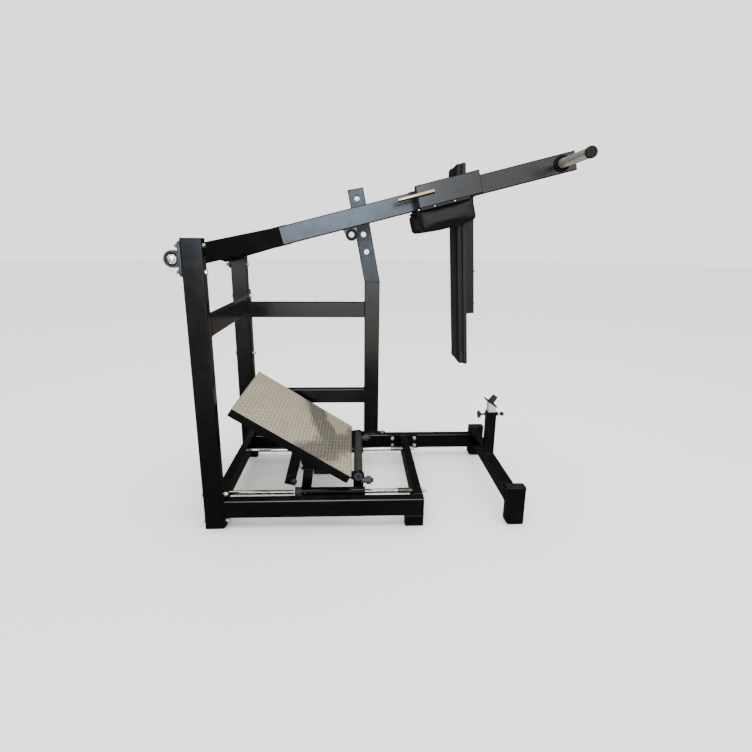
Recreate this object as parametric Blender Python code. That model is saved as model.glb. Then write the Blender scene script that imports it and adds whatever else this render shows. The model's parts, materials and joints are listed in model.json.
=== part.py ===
"""Pendulum squat machine: a free-standing strength frame with a swinging shoulder arm.

Lengths are metres. Inside the machine empty, X runs forward from the rear faces of the
uprights, Y runs from the near side to the far side with 0 on the centre plane, and Z is the
height above the floor. The machine empty then moves the whole model so that the origin lies
on the floor under the middle of its bounding box.
"""

import math

import bmesh
import bpy
from mathutils import Euler, Matrix, Vector

# Driving dimensions of the frame
WIDTH = 0.830
HEIGHT = 1.500
TUBE_DEEP = 0.100
TUBE_WIDE = 0.050
TUBE_WALL = 0.003
TUBE_CORNER = 0.005
INNER_CORNER = 0.0015
GAP = 0.0003
CAP = 0.004
PLATE = 0.008
FRAME_TUBE = (TUBE_WIDE, TUBE_DEEP)
RAIL_BOTTOM = 0.062
RAIL_FRONT = 1.163
FOOT_REAR = 1.610
FOOT_TOP = 0.216
SHOE_HEIGHT = 0.022
VENT_RADIUS = 0.004
FLANGE_LENGTH = 0.205
SIDE_PLATE_LENGTH = 0.860
SIDE_PLATE_CENTRE = 0.758
UPPER_CROSS_X = 0.075
UPPER_CROSS_BOTTOM = 1.035
REAR_CROSS_X = 0.055
POST_REAR = 0.857
POST_KINK = 1.240
POST_HEAD_LENGTH = 0.583
POST_HEAD_LEAN = math.radians(10.8)
PEG_HOLE_RADIUS = 0.0165
PEG_HOLE_PITCH = 0.111
PEG_HOLE_TOP = 0.055
UPPER_RAIL_TOP = 1.106
LOWER_RAIL_TOP = 0.505
VENT_REACH = 0.030
SHOE_SLOPE = 0.0176
CUT_MARGIN = 0.010
SHARP_ANGLE = math.radians(35)

# Pivot and its pillow blocks, sized as a common 30 mm pillow block
PIVOT_HEIGHT = 1.408
PIVOT_OFFSET = 0.0429
SHAFT_RADIUS = 0.015
SHAFT_HALF = 0.425
BLOCK_LENGTH = 0.165
BLOCK_WIDTH = 0.046
BLOCK_THICK = 0.015
BLOCK_CORNER = 0.018
HOUSING_RADIUS = 0.041
HOUSING_WIDTH = 0.034
HOUSING_FOOT_HALF = 0.052
HOUSING_FOOT_STEP = 0.014
HOUSING_ARC_START = math.radians(62)
ARC_STEPS = 12
BORE_RADIUS = 0.031
RACE_HALF = 0.010
RACE_RIM = 0.001
COLLAR_RADIUS = 0.0215
COLLAR_HALF = 0.019
SLEEVE_HALF = 0.333
BAR_CHAMFER = 0.001

# Swinging arm, in its own axes: U along the beam, V square to it
ARM_RISE = math.radians(14.4)
YOKE_SPREAD = math.atan2(0.308, 0.446)
YOKE_MEETING = 0.4454
BEAM_START = 0.360
HEAD_START = 1.205
HEAD_END = 1.515
BEAM_END = 2.080
HEAD_GAP = 0.230
HEAD_RAIL_DEEP = 0.115
HEAD_RAIL_OVERHANG = 0.007
HANDLE_RADIUS = 0.010
HANDLE_START = 1.094
HANDLE_LENGTH = 0.189
HANDLE_V = 0.016
HANDLE_CHAMFER = 0.002
HORN_U = 2.005
HORN_RADIUS = 0.025
HORN_SEAT_RADIUS = 0.042
HORN_SEAT = 0.012
HORN_CAP_RADIUS = 0.0285
HORN_CAP = 0.010
HORN_CAP_EDGE = 0.002
HORN_REACH = 0.290
SHOULDER_PAD = (0.300, 0.108, 0.127)
SHOULDER_PAD_U = 1.3175
SHOULDER_PAD_Y = 0.160
SHOULDER_PAD_ROUND = 0.026
SHOULDER_PAD_CROWN = 0.08
BOARD_LENGTH = 0.830
BOARD_WIDTH = 0.160
BOARD_CENTRE = 1.285
PAD_LEAN_AT_REST = math.radians(3.7)
PAD_FRONT_AT_SUPPORT = 1.332
PAD_SUPPORT_HEIGHT = 1.560
PAD_TOP = 1.885
PAD_BOTTOM = 0.810
PAD_THICK = 0.043
PAD_WIDTH = 0.196
PAD_ROUND = 0.0185
PAD_CROWN = 0.12
PAD_BOARD = 0.012
BOARD_CORNER = 0.012
CUSHION_EDGE = (0.55, 0.9, 1.0)
CUSHION_DRAW = 0.035
SUPPORT_DEEP = 0.060
SUPPORT_BOTTOM = 1.092
ROLLER_U = 0.824
ROLLER_DROP = 0.0355
ROLLER_RADIUS = 0.033
ROLLER_CHAMFER = 0.003
ROLLER_BORE = 0.0163
ROLLER_NEAR_Y = -0.023
ROLLER_FAR_Y = 0.012
ROLLER_PIN_RADIUS = 0.016
ROLLER_PIN_LENGTH = 0.042
BRACKET_Y = 0.0135
BRACKET_TOP_HALF = 0.040
BRACKET_LOW_HALF = 0.024
BRACKET_LOW = -0.022
BRACKET_WELD = 0.004

# Foot carriage on its two guide rods
ROD_RADIUS = 0.0125
ROD_Y = 0.254
ROD_HEIGHT = RAIL_BOTTOM + TUBE_DEEP / 2
SLIDE_START = 0.476
SLIDE_END = 0.850
SLIDE_RADIUS = 0.025
HINGE_X = 0.813
HINGE_HEIGHT = 0.215
HINGE_RADIUS = 0.025
HINGE_WALL = 0.004
HINGE_HALF = 0.275
HINGE_BLOCK_Y = 0.240
HINGE_BLOCK_LENGTH = 0.058
HINGE_BLOCK_WIDTH = 0.036
BLOCK_EDGE = 0.004
PLATE_SLOPE = math.radians(32.9)
PLATE_WIDTH = 0.650
PLATE_LOW = 0.0507
PLATE_RUN = 0.737
PLATE_SHEET = 0.006
PLATE_RISE = 0.0065
RIM_DEEP = 0.0437
RIM_THICK = 0.005
PROP_X = 0.519
PROP_LENGTH = 0.055
PROP_WIDTH = 0.030
PROP_LEAN = 0.128
PROP_TOP = 0.252
GUSSET_REAR = 0.494
GUSSET_STEP = 0.563
GUSSET_FRONT = 0.648
GUSSET_LOW = 0.2225
EYE_RADIUS = 0.034
EYE_WIDTH = 0.014
EYE_Y = 0.266
EYE_ARC = math.radians(105)
EYE_NECK_TOP = 0.004
EYE_NECK_LOW = 0.008
EYE_BORE_REACH = 0.400
LEG_U = -0.381
LEG_Y = -0.270
LEG_WIDTH = 0.058
LEG_LENGTH = 0.259
LEG_LEAN = math.radians(18.3)
KNOB_REACH = 0.225
KNOB_ACROSS = 0.020
KNOB_STEM = 0.010
KNOB_STEM_LENGTH = 0.008
KNOB_RADIUS = 0.0185
KNOB_CHAMFER = 0.002
KNOB_CROWN = 0.015
KNOB_LENGTH = 0.025

# Spring buffers at the front end of the rods
SPRING_WIRE = 0.002
SPRING_RADIUS = 0.01535
SPRING_LENGTH = 0.072
SPRING_SEAT = 0.0025
SPRING_TURNS = 8
SPRING_STEPS = 9

# Height-adjusted stop for the arm
STOP_X = 1.628
STOP_POST = 0.056
STOP_POST_WALL = 0.0042
STOP_TUBE = 0.047
STOP_POST_TOP = 0.490
STOP_TUBE_BOTTOM = 0.250
STOP_TUBE_TOP = 0.539
STOP_SLANT = math.radians(34.0)
STOP_HEAD_LENGTH = 0.082
STOP_HEAD_WIDTH = 0.062
STOP_HEAD_THICK = 0.006
STOP_HEAD_BACK = 0.008
STOP_HEAD_SINK = 0.001
BUMPER_RADIUS = 0.020
BUMPER_NECK = 0.0175
BUMPER_TIP = 0.0155
BUMPER_STEP = 0.008
BUMPER_LENGTH = 0.048
PIN_HEIGHT = 0.470
PIN_HOLE_RADIUS = 0.0046
PIN_RADIUS = 0.0040
PIN_CLEAR = 0.0006
PIN_STEM_END = 0.060
PIN_BALL = 0.012
PIN_BALL_CENTRE = 0.069
STEP_PITCH = 0.030
STEP_TOP = 0.030
STEP_COUNT = 8
CLAMP_HOLE_RADIUS = 0.0065
CLAMP_STEM_RADIUS = 0.0058
CLAMP_STEM_START = -0.0695
CLAMP_STEM_LENGTH = 0.045
CLAMP_KNOB_START = -0.082
CLAMP_KNOB_LENGTH = 0.016
CLAMP_KNOB_RADIUS = 0.0215
CLAMP_LOBE = 0.003
CLAMP_LOBES = 5
DRILL_DEPTH = 0.010
SMALL_CORNER = 0.004

SIDE_Y = (WIDTH - TUBE_WIDE) / 2
INNER_Y = WIDTH / 2 - TUBE_WIDE
RAIL_TOP = RAIL_BOTTOM + TUBE_DEEP
UP = math.radians(90)
NEAR = -1
FAR = 1
SIDES = (("near", NEAR), ("far", FAR))

# Surface colour, metallic and roughness of each finish
FINISHES = {
    "black_powder_coat": ((0.018, 0.018, 0.019), 0.0, 0.38),
    "black_vinyl": ((0.022, 0.021, 0.020), 0.0, 0.52),
    "black_plastic": ((0.015, 0.015, 0.016), 0.0, 0.45),
    "black_rubber": ((0.020, 0.020, 0.020), 0.0, 0.80),
    "grey_rubber": ((0.055, 0.053, 0.060), 0.0, 0.75),
    "chrome": ((0.75, 0.74, 0.72), 1.0, 0.12),
    "zinc": ((0.62, 0.63, 0.65), 1.0, 0.30),
    "yellow_zinc": ((0.72, 0.62, 0.38), 1.0, 0.28),
    "cast_iron": ((0.17, 0.18, 0.19), 0.6, 0.50),
    "tread_steel": ((0.42, 0.40, 0.35), 0.5, 0.48),
    "spring_steel": ((0.030, 0.028, 0.028), 0.6, 0.40),
}


def clear_scene():
    """Remove every object so that the model starts from nothing."""
    for item in list(bpy.data.objects):
        bpy.data.objects.remove(item, do_unlink=True)


def finish_material(name):
    """The Principled material of one finish, made on first use."""
    found = bpy.data.materials.get(name)
    if found:
        return found
    colour, metallic, roughness = FINISHES[name]
    made = bpy.data.materials.new(name)
    made.use_nodes = True
    shader = made.node_tree.nodes["Principled BSDF"]
    shader.inputs["Base Color"].default_value = (*colour, 1.0)
    shader.inputs["Metallic"].default_value = metallic
    shader.inputs["Roughness"].default_value = roughness
    made.diffuse_color = (*colour, 1.0)
    return made


def empty(name, location, parent=None, tilt=0.0):
    """An empty that carries a group of pieces, turned about Y by tilt."""
    item = bpy.data.objects.new(name, None)
    item.location = location
    item.rotation_euler = (0.0, tilt, 0.0)
    item.parent = parent
    bpy.context.collection.objects.link(item)
    return item


def place(name, mesh, finish, parent, location=(0, 0, 0), turn=(0, 0, 0), smooth=False):
    """Link a mesh as a named sub-part with its finish."""
    mesh.materials.clear()
    mesh.materials.append(finish_material(finish))
    if smooth:
        mesh.shade_smooth()
        mesh.set_sharp_from_angle(angle=SHARP_ANGLE)
    item = bpy.data.objects.new(name, mesh)
    item.location = location
    item.rotation_euler = turn
    item.parent = parent
    bpy.context.collection.objects.link(item)
    return item


def to_mesh(bm, name):
    """Turn a bmesh into a mesh with its faces pointing out."""
    bmesh.ops.recalc_face_normals(bm, faces=bm.faces)
    mesh = bpy.data.meshes.new(name)
    bm.to_mesh(mesh)
    bm.free()
    return mesh


def rounded_rectangle(width, height, radius, steps=2):
    """Outline of a rectangle with round corners, counter-clockwise."""
    points = []
    for quarter in range(4):
        sign_x = 1 if quarter in (0, 3) else -1
        sign_y = 1 if quarter in (0, 1) else -1
        centre_x = sign_x * (width / 2 - radius)
        centre_y = sign_y * (height / 2 - radius)
        for step in range(steps + 1):
            angle = (quarter + step / steps) * UP
            x = centre_x + radius * math.cos(angle)
            y = centre_y + radius * math.sin(angle)
            points.append((x, y))
    return points


def add_loop(bm, points):
    """Add a ring of vertices."""
    return [bm.verts.new(point) for point in points]


def bridge(bm, first, second):
    """Join two rings of equal length with quads."""
    count = len(first)
    for i in range(count):
        j = (i + 1) % count
        bm.faces.new((first[i], first[j], second[j], second[i]))


def tube_mesh(name, section, length, wall=TUBE_WALL, cuts=((0, 0), (0, 0)), plates=(0, 0)):
    """Rectangular tube along X; each end is cut on a slope in Y and Z, or closed by a plate."""
    width, depth = section
    outer = rounded_rectangle(width, depth, TUBE_CORNER)
    inner = rounded_rectangle(width - 2 * wall, depth - 2 * wall, INNER_CORNER)
    bm = bmesh.new()
    rings = []
    inset = (plates[0], -plates[1])
    for outline, ends in ((outer, (0, 1)), (inner, (1, 0))):
        for end in ends:
            base = end * length
            cut = cuts[end]
            if outline is inner:
                base += inset[end]
            ring = [(base + cut[0] * y + cut[1] * z, y, z) for y, z in outline]
            rings.append(add_loop(bm, ring))
    outer_start, outer_end, inner_end, inner_start = rings
    bridge(bm, outer_start, outer_end)
    bridge(bm, inner_end, inner_start)
    ends = ((plates[0], outer_start, inner_start), (plates[1], outer_end, inner_end))
    for plate, outer_ring, inner_ring in ends:
        if plate:
            bm.faces.new(outer_ring)
            bm.faces.new(inner_ring)
        else:
            bridge(bm, outer_ring, inner_ring)
    return to_mesh(bm, name)


def prism_into(bm, outline, length, matrix=Matrix()):
    """Add a solid prism whose XY outline is pushed along Z."""
    low = add_loop(bm, [matrix @ Vector((x, y, 0.0)) for x, y in outline])
    high = add_loop(bm, [matrix @ Vector((x, y, length)) for x, y in outline])
    bridge(bm, low, high)
    bm.faces.new(list(reversed(low)))
    bm.faces.new(high)


def prism_mesh(name, outline, length):
    """A solid prism along Z as a mesh."""
    bm = bmesh.new()
    prism_into(bm, outline, length)
    return to_mesh(bm, name)


def circle(radius, count, turn=0.0):
    """Points round a circle."""
    angles = [turn + 2 * math.pi * i / count for i in range(count)]
    return [(radius * math.cos(angle), radius * math.sin(angle)) for angle in angles]


def arc(centre_x, radius, start, end, steps):
    """Points along part of a circle whose centre lies on X."""
    points = []
    for step in range(steps + 1):
        angle = start + (end - start) * step / steps
        points.append((centre_x + radius * math.cos(angle), radius * math.sin(angle)))
    return points


def turned_into(bm, profile, count, matrix=Matrix(), ring=False):
    """Turn a profile of (radius, height) points about Z; a ring profile closes on itself."""
    loops = []
    for radius, height in profile:
        if radius == 0.0:
            loops.append([bm.verts.new(matrix @ Vector((0.0, 0.0, height)))])
        else:
            points = circle(radius, count)
            loops.append(add_loop(bm, [matrix @ Vector((x, y, height)) for x, y in points]))
    pairs = list(zip(loops, loops[1:]))
    if ring:
        pairs.append((loops[-1], loops[0]))
    for first, second in pairs:
        if len(first) == 1 or len(second) == 1:
            tip, rim = (first[0], second) if len(first) == 1 else (second[0], first)
            for i in range(count):
                bm.faces.new((tip, rim[i], rim[(i + 1) % count]))
        else:
            bridge(bm, first, second)


def turned_mesh(name, profile, count=24, ring=False):
    """A turned solid about Z as a mesh."""
    bm = bmesh.new()
    turned_into(bm, profile, count, ring=ring)
    return to_mesh(bm, name)


def rod_profile(radius, length, chamfer):
    """Profile of a solid round bar with chamfered ends."""
    return [
        (0.0, 0.0),
        (radius - chamfer, 0.0),
        (radius, chamfer),
        (radius, length - chamfer),
        (radius - chamfer, length),
        (0.0, length),
    ]


def pipe_profile(inner, outer, length):
    """Profile of a plain ring or pipe."""
    return [(inner, 0.0), (outer, 0.0), (outer, length), (inner, length)]


def facing(location, direction):
    """Matrix that puts local Z along direction at location."""
    quaternion = Vector((0, 0, 1)).rotation_difference(Vector(direction))
    return Matrix.Translation(location) @ quaternion.to_matrix().to_4x4()


def cut_with(item, cutter):
    """Take a hidden cutter out of a sub-part."""
    hide_tool(cutter)
    modifier = item.modifiers.new("cut", "BOOLEAN")
    modifier.operation = "DIFFERENCE"
    modifier.solver = "EXACT"
    modifier.object = cutter


def join_with(item, tool):
    """Weld a hidden tool body onto a sub-part."""
    hide_tool(tool)
    modifier = item.modifiers.new("weld", "BOOLEAN")
    modifier.operation = "UNION"
    modifier.solver = "EXACT"
    modifier.object = tool


def hide_tool(tool):
    """Mark a body as a modelling tool that is no sub-part itself."""
    tool.hide_render = True
    tool.display_type = "WIRE"


def drill(name, parent, centres, direction, radius, reach, count=16):
    """One cutter made of round bars centred on the given points."""
    bm = bmesh.new()
    profile = [(0, 0), (radius, 0), (radius, 2 * reach), (0, 2 * reach)]
    for centre in centres:
        start = Vector(centre) - Vector(direction) * reach
        turned_into(bm, profile, count, facing(start, direction))
    return place(name, to_mesh(bm, name), "zinc", parent)


def box_outline(length, width):
    """A plain rectangle around the origin."""
    x = length / 2
    y = width / 2
    return [(-x, -y), (x, -y), (x, y), (-x, y)]


def weld_plate(item, parent, outline, matrix, thickness=PLATE):
    """Weld a flat plate onto a sub-part; the plate's outline is pushed along local Z of matrix."""
    bm = bmesh.new()
    prism_into(bm, outline, thickness, matrix)
    name = f"tool_{item.name}_plate"
    join_with(item, place(name, to_mesh(bm, name), "black_powder_coat", parent))


def vent(item, parent, centre, direction):
    """Drill the drain hole of a tube that is closed at both ends."""
    name = f"cutter_{item.name}_vent"
    cut_with(item, drill(name, parent, [centre], direction, VENT_RADIUS, VENT_REACH, 8))


def cross_tube(name, machine, x, low_z, near_y, far_y):
    """Tube across the machine, its ends short of the faces it is welded to."""
    length = far_y - near_y - 2 * GAP
    mesh = tube_mesh(name, FRAME_TUBE, length)
    location = (x, near_y + GAP, low_z + TUBE_DEEP / 2)
    return place(name, mesh, "black_powder_coat", machine, location, (0, 0, UP))


def long_rail(name, machine, y, low_z, start_x, end_x, plates=(0, 0)):
    """Tube along the machine."""
    length = end_x - start_x - 2 * GAP
    mesh = tube_mesh(name, FRAME_TUBE, length, plates=plates)
    location = (start_x + GAP, y, low_z + TUBE_DEEP / 2)
    return place(name, mesh, "black_powder_coat", machine, location)


def standing_tube(name, machine, x, y, low_z, high_z, top_cut=(0, 0), plates=(0, 0)):
    """Vertical tube with its deep side along the machine."""
    cuts = ((0, 0), top_cut)
    mesh = tube_mesh(name, FRAME_TUBE, high_z - low_z, cuts=cuts, plates=plates)
    return place(name, mesh, "black_powder_coat", machine, (x, y, low_z), (0, -UP, 0))


def build_base(machine):
    """Uprights, crossmembers and base rails."""
    for label, side in SIDES:
        x = TUBE_DEEP / 2
        y = side * SIDE_Y
        tube = standing_tube(f"{label}_upright", machine, x, y, 0, HEIGHT, plates=(CAP, CAP))
        vent(tube, machine, (x, y, 0), (0, 0, 1))
    cross_tube("upper_crossmember", machine, UPPER_CROSS_X, UPPER_CROSS_BOTTOM, -INNER_Y, INNER_Y)
    cross_tube("rear_base_crossmember", machine, REAR_CROSS_X, RAIL_BOTTOM, -INNER_Y, INNER_Y)
    front_x = RAIL_FRONT - TUBE_WIDE / 2
    weld = PLATE / 2
    name = "front_base_crossmember"
    front = cross_tube(name, machine, front_x, RAIL_BOTTOM, -INNER_Y, INNER_Y - weld)
    turn = Matrix.Rotation(UP, 4, "X")
    on_far_rail = Matrix.Translation((front_x, INNER_Y - GAP, ROD_HEIGHT)) @ turn
    tall = rounded_rectangle(FLANGE_LENGTH, TUBE_DEEP, TUBE_CORNER, 1)
    weld_plate(front, machine, tall, on_far_rail)
    bolted = TUBE_DEEP + GAP
    start = bolted + weld
    name = "near_base_rail"
    near = long_rail(name, machine, -SIDE_Y, RAIL_BOTTOM, start, RAIL_FRONT, (0, CAP))
    on_upright = (bolted, -SIDE_Y, RAIL_BOTTOM + TUBE_DEEP / 2)
    narrow = rounded_rectangle(FLANGE_LENGTH, TUBE_WIDE, TUBE_CORNER, 1)
    weld_plate(near, machine, narrow, facing(on_upright, (1, 0, 0)))
    vent(near, machine, on_upright, (1, 0, 0))
    long_rail("far_base_rail", machine, SIDE_Y, RAIL_BOTTOM, TUBE_DEEP, FOOT_REAR)
    foot_x = RAIL_FRONT - TUBE_DEEP / 2
    foot_top = RAIL_BOTTOM - GAP
    standing_tube("near_rail_foot", machine, foot_x, -SIDE_Y, 0, foot_top, plates=(CAP, 0))


def build_foot_end(machine):
    """Foot blocks at the front corners and the tube between them."""
    block_x = FOOT_REAR + TUBE_DEEP / 2
    for label, side in SIDES:
        name = f"{label}_foot_block"
        y = side * SIDE_Y
        block = standing_tube(name, machine, block_x, y, 0, FOOT_TOP, plates=(SHOE_HEIGHT, CAP))
        vent(block, machine, (block_x, y, 0), (0, 0, 1))
        outline = [(-CUT_MARGIN, -CUT_MARGIN), (SHOE_SLOPE, -CUT_MARGIN), (SHOE_SLOPE, 0.0)]
        outline += [(0.0, SHOE_SLOPE), (-CUT_MARGIN, SHOE_SLOPE)]
        turn = Matrix.Rotation(UP, 4, "X")
        corner = Matrix.Translation((FOOT_REAR, y + TUBE_WIDE, 0)) @ turn
        bm = bmesh.new()
        prism_into(bm, outline, 2 * TUBE_WIDE, corner)
        cutter_name = f"cutter_{name}"
        cut_with(block, place(cutter_name, to_mesh(bm, cutter_name), "zinc", machine))
    cross_x = FOOT_REAR + TUBE_WIDE / 2
    cross_tube("foot_cross_tube", machine, cross_x, FOOT_TOP - TUBE_DEEP, -INNER_Y, INNER_Y)


def build_side_rails(machine):
    """The two rails between the far upright and the front post, and their bolted plate."""
    bolted = TUBE_DEEP + GAP
    outline = rounded_rectangle(SIDE_PLATE_LENGTH, TUBE_WIDE, TUBE_CORNER, 1)
    bm = bmesh.new()
    prism_into(bm, outline, PLATE, facing((bolted, SIDE_Y, SIDE_PLATE_CENTRE), (1, 0, 0)))
    place("side_rail_plate", to_mesh(bm, "side_rail_plate"), "black_powder_coat", machine)
    start = bolted + PLATE
    long_rail("upper_side_rail", machine, SIDE_Y, UPPER_RAIL_TOP - TUBE_DEEP, start, POST_REAR)
    long_rail("lower_side_rail", machine, SIDE_Y, LOWER_RAIL_TOP - TUBE_DEEP, start, POST_REAR)


def build_post(machine):
    """Front post: a vertical tube on the far rail and a slanted head with peg holes."""
    half_lean = math.tan(POST_HEAD_LEAN / 2)
    low = RAIL_TOP + GAP
    centre_x = POST_REAR + TUBE_DEEP / 2
    start = low + PLATE / 2
    top = POST_KINK - GAP
    post = standing_tube("front_post", machine, centre_x, SIDE_Y, start, top, (0, -half_lean))
    on_rail = Matrix.Translation((centre_x, SIDE_Y, low))
    flange = rounded_rectangle(FLANGE_LENGTH, TUBE_WIDE, TUBE_CORNER, 1)
    weld_plate(post, machine, flange, on_rail)
    head_axis = Euler((0, -POST_HEAD_LEAN, 0)).to_matrix() @ Vector((0, 0, 1))
    head_turn = (0, -UP - POST_HEAD_LEAN, 0)
    length = POST_HEAD_LENGTH - GAP
    cuts = ((0, half_lean), (0, 0))
    mesh = tube_mesh("post_head", FRAME_TUBE, length, cuts=cuts, plates=(0, CAP))
    kink = Vector((centre_x, SIDE_Y, POST_KINK))
    low_end = kink + head_axis * GAP
    head = place("post_head", mesh, "black_powder_coat", machine, low_end, head_turn)
    holes = []
    for index in range(4):
        along = POST_HEAD_LENGTH - PEG_HOLE_TOP - index * PEG_HOLE_PITCH
        holes.append(kink + head_axis * along)
    cutter = drill("cutter_peg_holes", machine, holes, (0, 1, 0), PEG_HOLE_RADIUS, TUBE_WIDE)
    cut_with(head, cutter)


def build_pillow_blocks(machine):
    """Cast pillow blocks on the rear faces of the uprights."""
    foot = HOUSING_FOOT_HALF
    points = [(0.0, -foot), (0.0, foot), (-HOUSING_FOOT_STEP, foot)]
    arc_end = 2 * math.pi - HOUSING_ARC_START
    points += arc(-PIVOT_OFFSET, HOUSING_RADIUS, HOUSING_ARC_START, arc_end, ARC_STEPS)
    points.append((-HOUSING_FOOT_STEP, -foot))
    base = rounded_rectangle(BLOCK_LENGTH, BLOCK_WIDTH, BLOCK_CORNER)
    for label, side in SIDES:
        name = f"{label}_pillow_block"
        mesh = prism_mesh(name, points, HOUSING_WIDTH)
        centre = Vector((-GAP, side * SIDE_Y, PIVOT_HEIGHT))
        far_face = centre + Vector((0, HOUSING_WIDTH / 2, 0))
        block = place(name, mesh, "cast_iron", machine, far_face, (UP, 0, 0))
        tool_name = f"tool_{label}_block_base"
        tool = prism_mesh(tool_name, base, BLOCK_THICK)
        join_with(block, place(tool_name, tool, "cast_iron", machine, centre, (0, -UP, 0)))
        bore = [(-PIVOT_OFFSET, centre.y, PIVOT_HEIGHT)]
        name = f"cutter_{label}_bore"
        cut_with(block, drill(name, machine, bore, (0, 1, 0), BORE_RADIUS, TUBE_WIDE, 28))


def build_guide_rods(machine):
    """The two chromed rods and their spring buffers."""
    start = REAR_CROSS_X + TUBE_WIDE / 2 + GAP
    end = RAIL_FRONT - TUBE_WIDE - GAP
    for label, side in SIDES:
        name = f"{label}_guide_rod"
        mesh = turned_mesh(name, rod_profile(ROD_RADIUS, end - start, BAR_CHAMFER), 20)
        y = side * ROD_Y
        place(name, mesh, "chrome", machine, (start, y, ROD_HEIGHT), (0, UP, 0), smooth=True)
        coil_spring(f"{label}_rod_spring", machine, end - SPRING_SEAT, y)


def spring_points(end_x, y):
    """Points along the spring wire, with a straight tip of one wire diameter at each end."""
    count = SPRING_TURNS * SPRING_STEPS
    points = []
    for step in range(count + 1):
        angle = 2 * math.pi * step / SPRING_STEPS
        x = end_x - SPRING_LENGTH * (1 - step / count)
        across = SPRING_RADIUS * math.cos(angle)
        above = SPRING_RADIUS * math.sin(angle)
        points.append(Vector((x, y + across, ROD_HEIGHT + above)))
    tip = 2 * SPRING_WIRE
    first = points[0] + (points[0] - points[1]).normalized() * tip
    last = points[-1] + (points[-1] - points[-2]).normalized() * tip
    return [first] + points + [last]


def coil_spring(name, machine, end_x, y):
    """A compression spring around the front end of a guide rod."""
    points = spring_points(end_x, y)
    pitch = SPRING_LENGTH / SPRING_TURNS
    print(name, "least gap between turns", round((pitch - 2 * SPRING_WIRE) * 1000, 2), "mm")
    curve = bpy.data.curves.new(name, "CURVE")
    curve.dimensions = "3D"
    curve.bevel_depth = SPRING_WIRE
    curve.bevel_resolution = 1
    curve.use_fill_caps = True
    spline = curve.splines.new("POLY")
    spline.points.add(len(points) - 1)
    for point, position in zip(spline.points, points):
        point.co = (*position, 1.0)
    curve.materials.append(finish_material("spring_steel"))
    item = bpy.data.objects.new(name, curve)
    item.parent = machine
    bpy.context.collection.objects.link(item)


def build_stop(machine):
    """Stop post with its telescoping tube, bumper, clamp knob and pull pin."""
    low = FOOT_TOP + GAP
    section = (STOP_POST, STOP_POST)
    mesh = tube_mesh("stop_post", section, STOP_POST_TOP - low, STOP_POST_WALL)
    post = place("stop_post", mesh, "black_powder_coat", machine, (STOP_X, 0, low), (0, -UP, 0))
    front = [(STOP_X + STOP_POST / 2, 0, PIN_HEIGHT)]
    rear = [(STOP_X - STOP_POST / 2, 0, PIN_HEIGHT)]
    for name, hole, radius in (
        ("cutter_pin_hole", front, PIN_HOLE_RADIUS),
        ("cutter_clamp_hole", rear, CLAMP_HOLE_RADIUS),
    ):
        cut_with(post, drill(name, machine, hole, (1, 0, 0), radius, DRILL_DEPTH, 12))
    centre = (STOP_X, 0, PIN_HEIGHT)
    build_stop_tube(empty("stop_slide", centre, machine))
    build_star_knob(empty("clamp_axis", centre, machine))
    build_pull_pin(empty("pin_axis", centre, machine))


def build_pull_pin(pin_axis):
    """Pull pin with a ball grip, drawn out just clear of the inner tube."""
    tip = STOP_TUBE / 2 + PIN_CLEAR
    profile = [(0, tip), (0.9 * PIN_RADIUS, tip), (PIN_RADIUS, tip + BAR_CHAMFER)]
    profile.append((PIN_RADIUS, PIN_STEM_END))
    for step in range(1, 9):
        angle = math.radians(-70 + 20 * step)
        radius = PIN_BALL * math.cos(angle)
        profile.append((radius, PIN_BALL_CENTRE + PIN_BALL * math.sin(angle)))
    profile.append((0, PIN_BALL_CENTRE + PIN_BALL))
    pin = turned_mesh("stop_pin", profile, 14)
    place("stop_pin", pin, "black_plastic", pin_axis, turn=(0, UP, 0), smooth=True)


def build_stop_tube(slide):
    """Inner tube with its slanted head plate, and the rubber bumper on it."""
    slope = math.tan(STOP_SLANT)
    length = STOP_TUBE_TOP - STOP_TUBE_BOTTOM
    cuts = ((0, 0), (0, slope))
    mesh = tube_mesh("stop_tube", (STOP_TUBE, STOP_TUBE), length, TUBE_WALL, cuts)
    low = STOP_TUBE_BOTTOM - PIN_HEIGHT
    tube = place("stop_tube", mesh, "chrome", slide, (0, 0, low), (0, -UP, 0))
    outline = rounded_rectangle(STOP_HEAD_LENGTH, STOP_HEAD_WIDTH, SMALL_CORNER, 1)
    head = prism_mesh("tool_stop_head", outline, STOP_HEAD_THICK)
    top = STOP_TUBE_TOP - PIN_HEIGHT
    head_z = top + STOP_HEAD_BACK * slope - STOP_HEAD_SINK
    centre = Vector((-STOP_HEAD_BACK, 0, head_z))
    turn = (0, STOP_SLANT, 0)
    join_with(tube, place("tool_stop_head", head, "black_powder_coat", slide, centre, turn))
    holes = [(STOP_TUBE / 2, 0, STEP_TOP - STEP_PITCH * step) for step in range(STEP_COUNT)]
    cutter = drill("cutter_stop_steps", slide, holes, (1, 0, 0), PIN_HOLE_RADIUS, DRILL_DEPTH, 12)
    cut_with(tube, cutter)
    profile = [(0, 0), (BUMPER_RADIUS, 0), (BUMPER_RADIUS, BUMPER_STEP)]
    profile += [(BUMPER_NECK, BUMPER_LENGTH - 0.003), (BUMPER_TIP, BUMPER_LENGTH)]
    profile.append((0, BUMPER_LENGTH))
    axis = Vector((math.sin(STOP_SLANT), 0, math.cos(STOP_SLANT)))
    base = centre + axis * (STOP_HEAD_THICK + GAP)
    bumper = turned_mesh("stop_bumper", profile, 20)
    place("stop_bumper", bumper, "grey_rubber", slide, base, turn, smooth=True)


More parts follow.
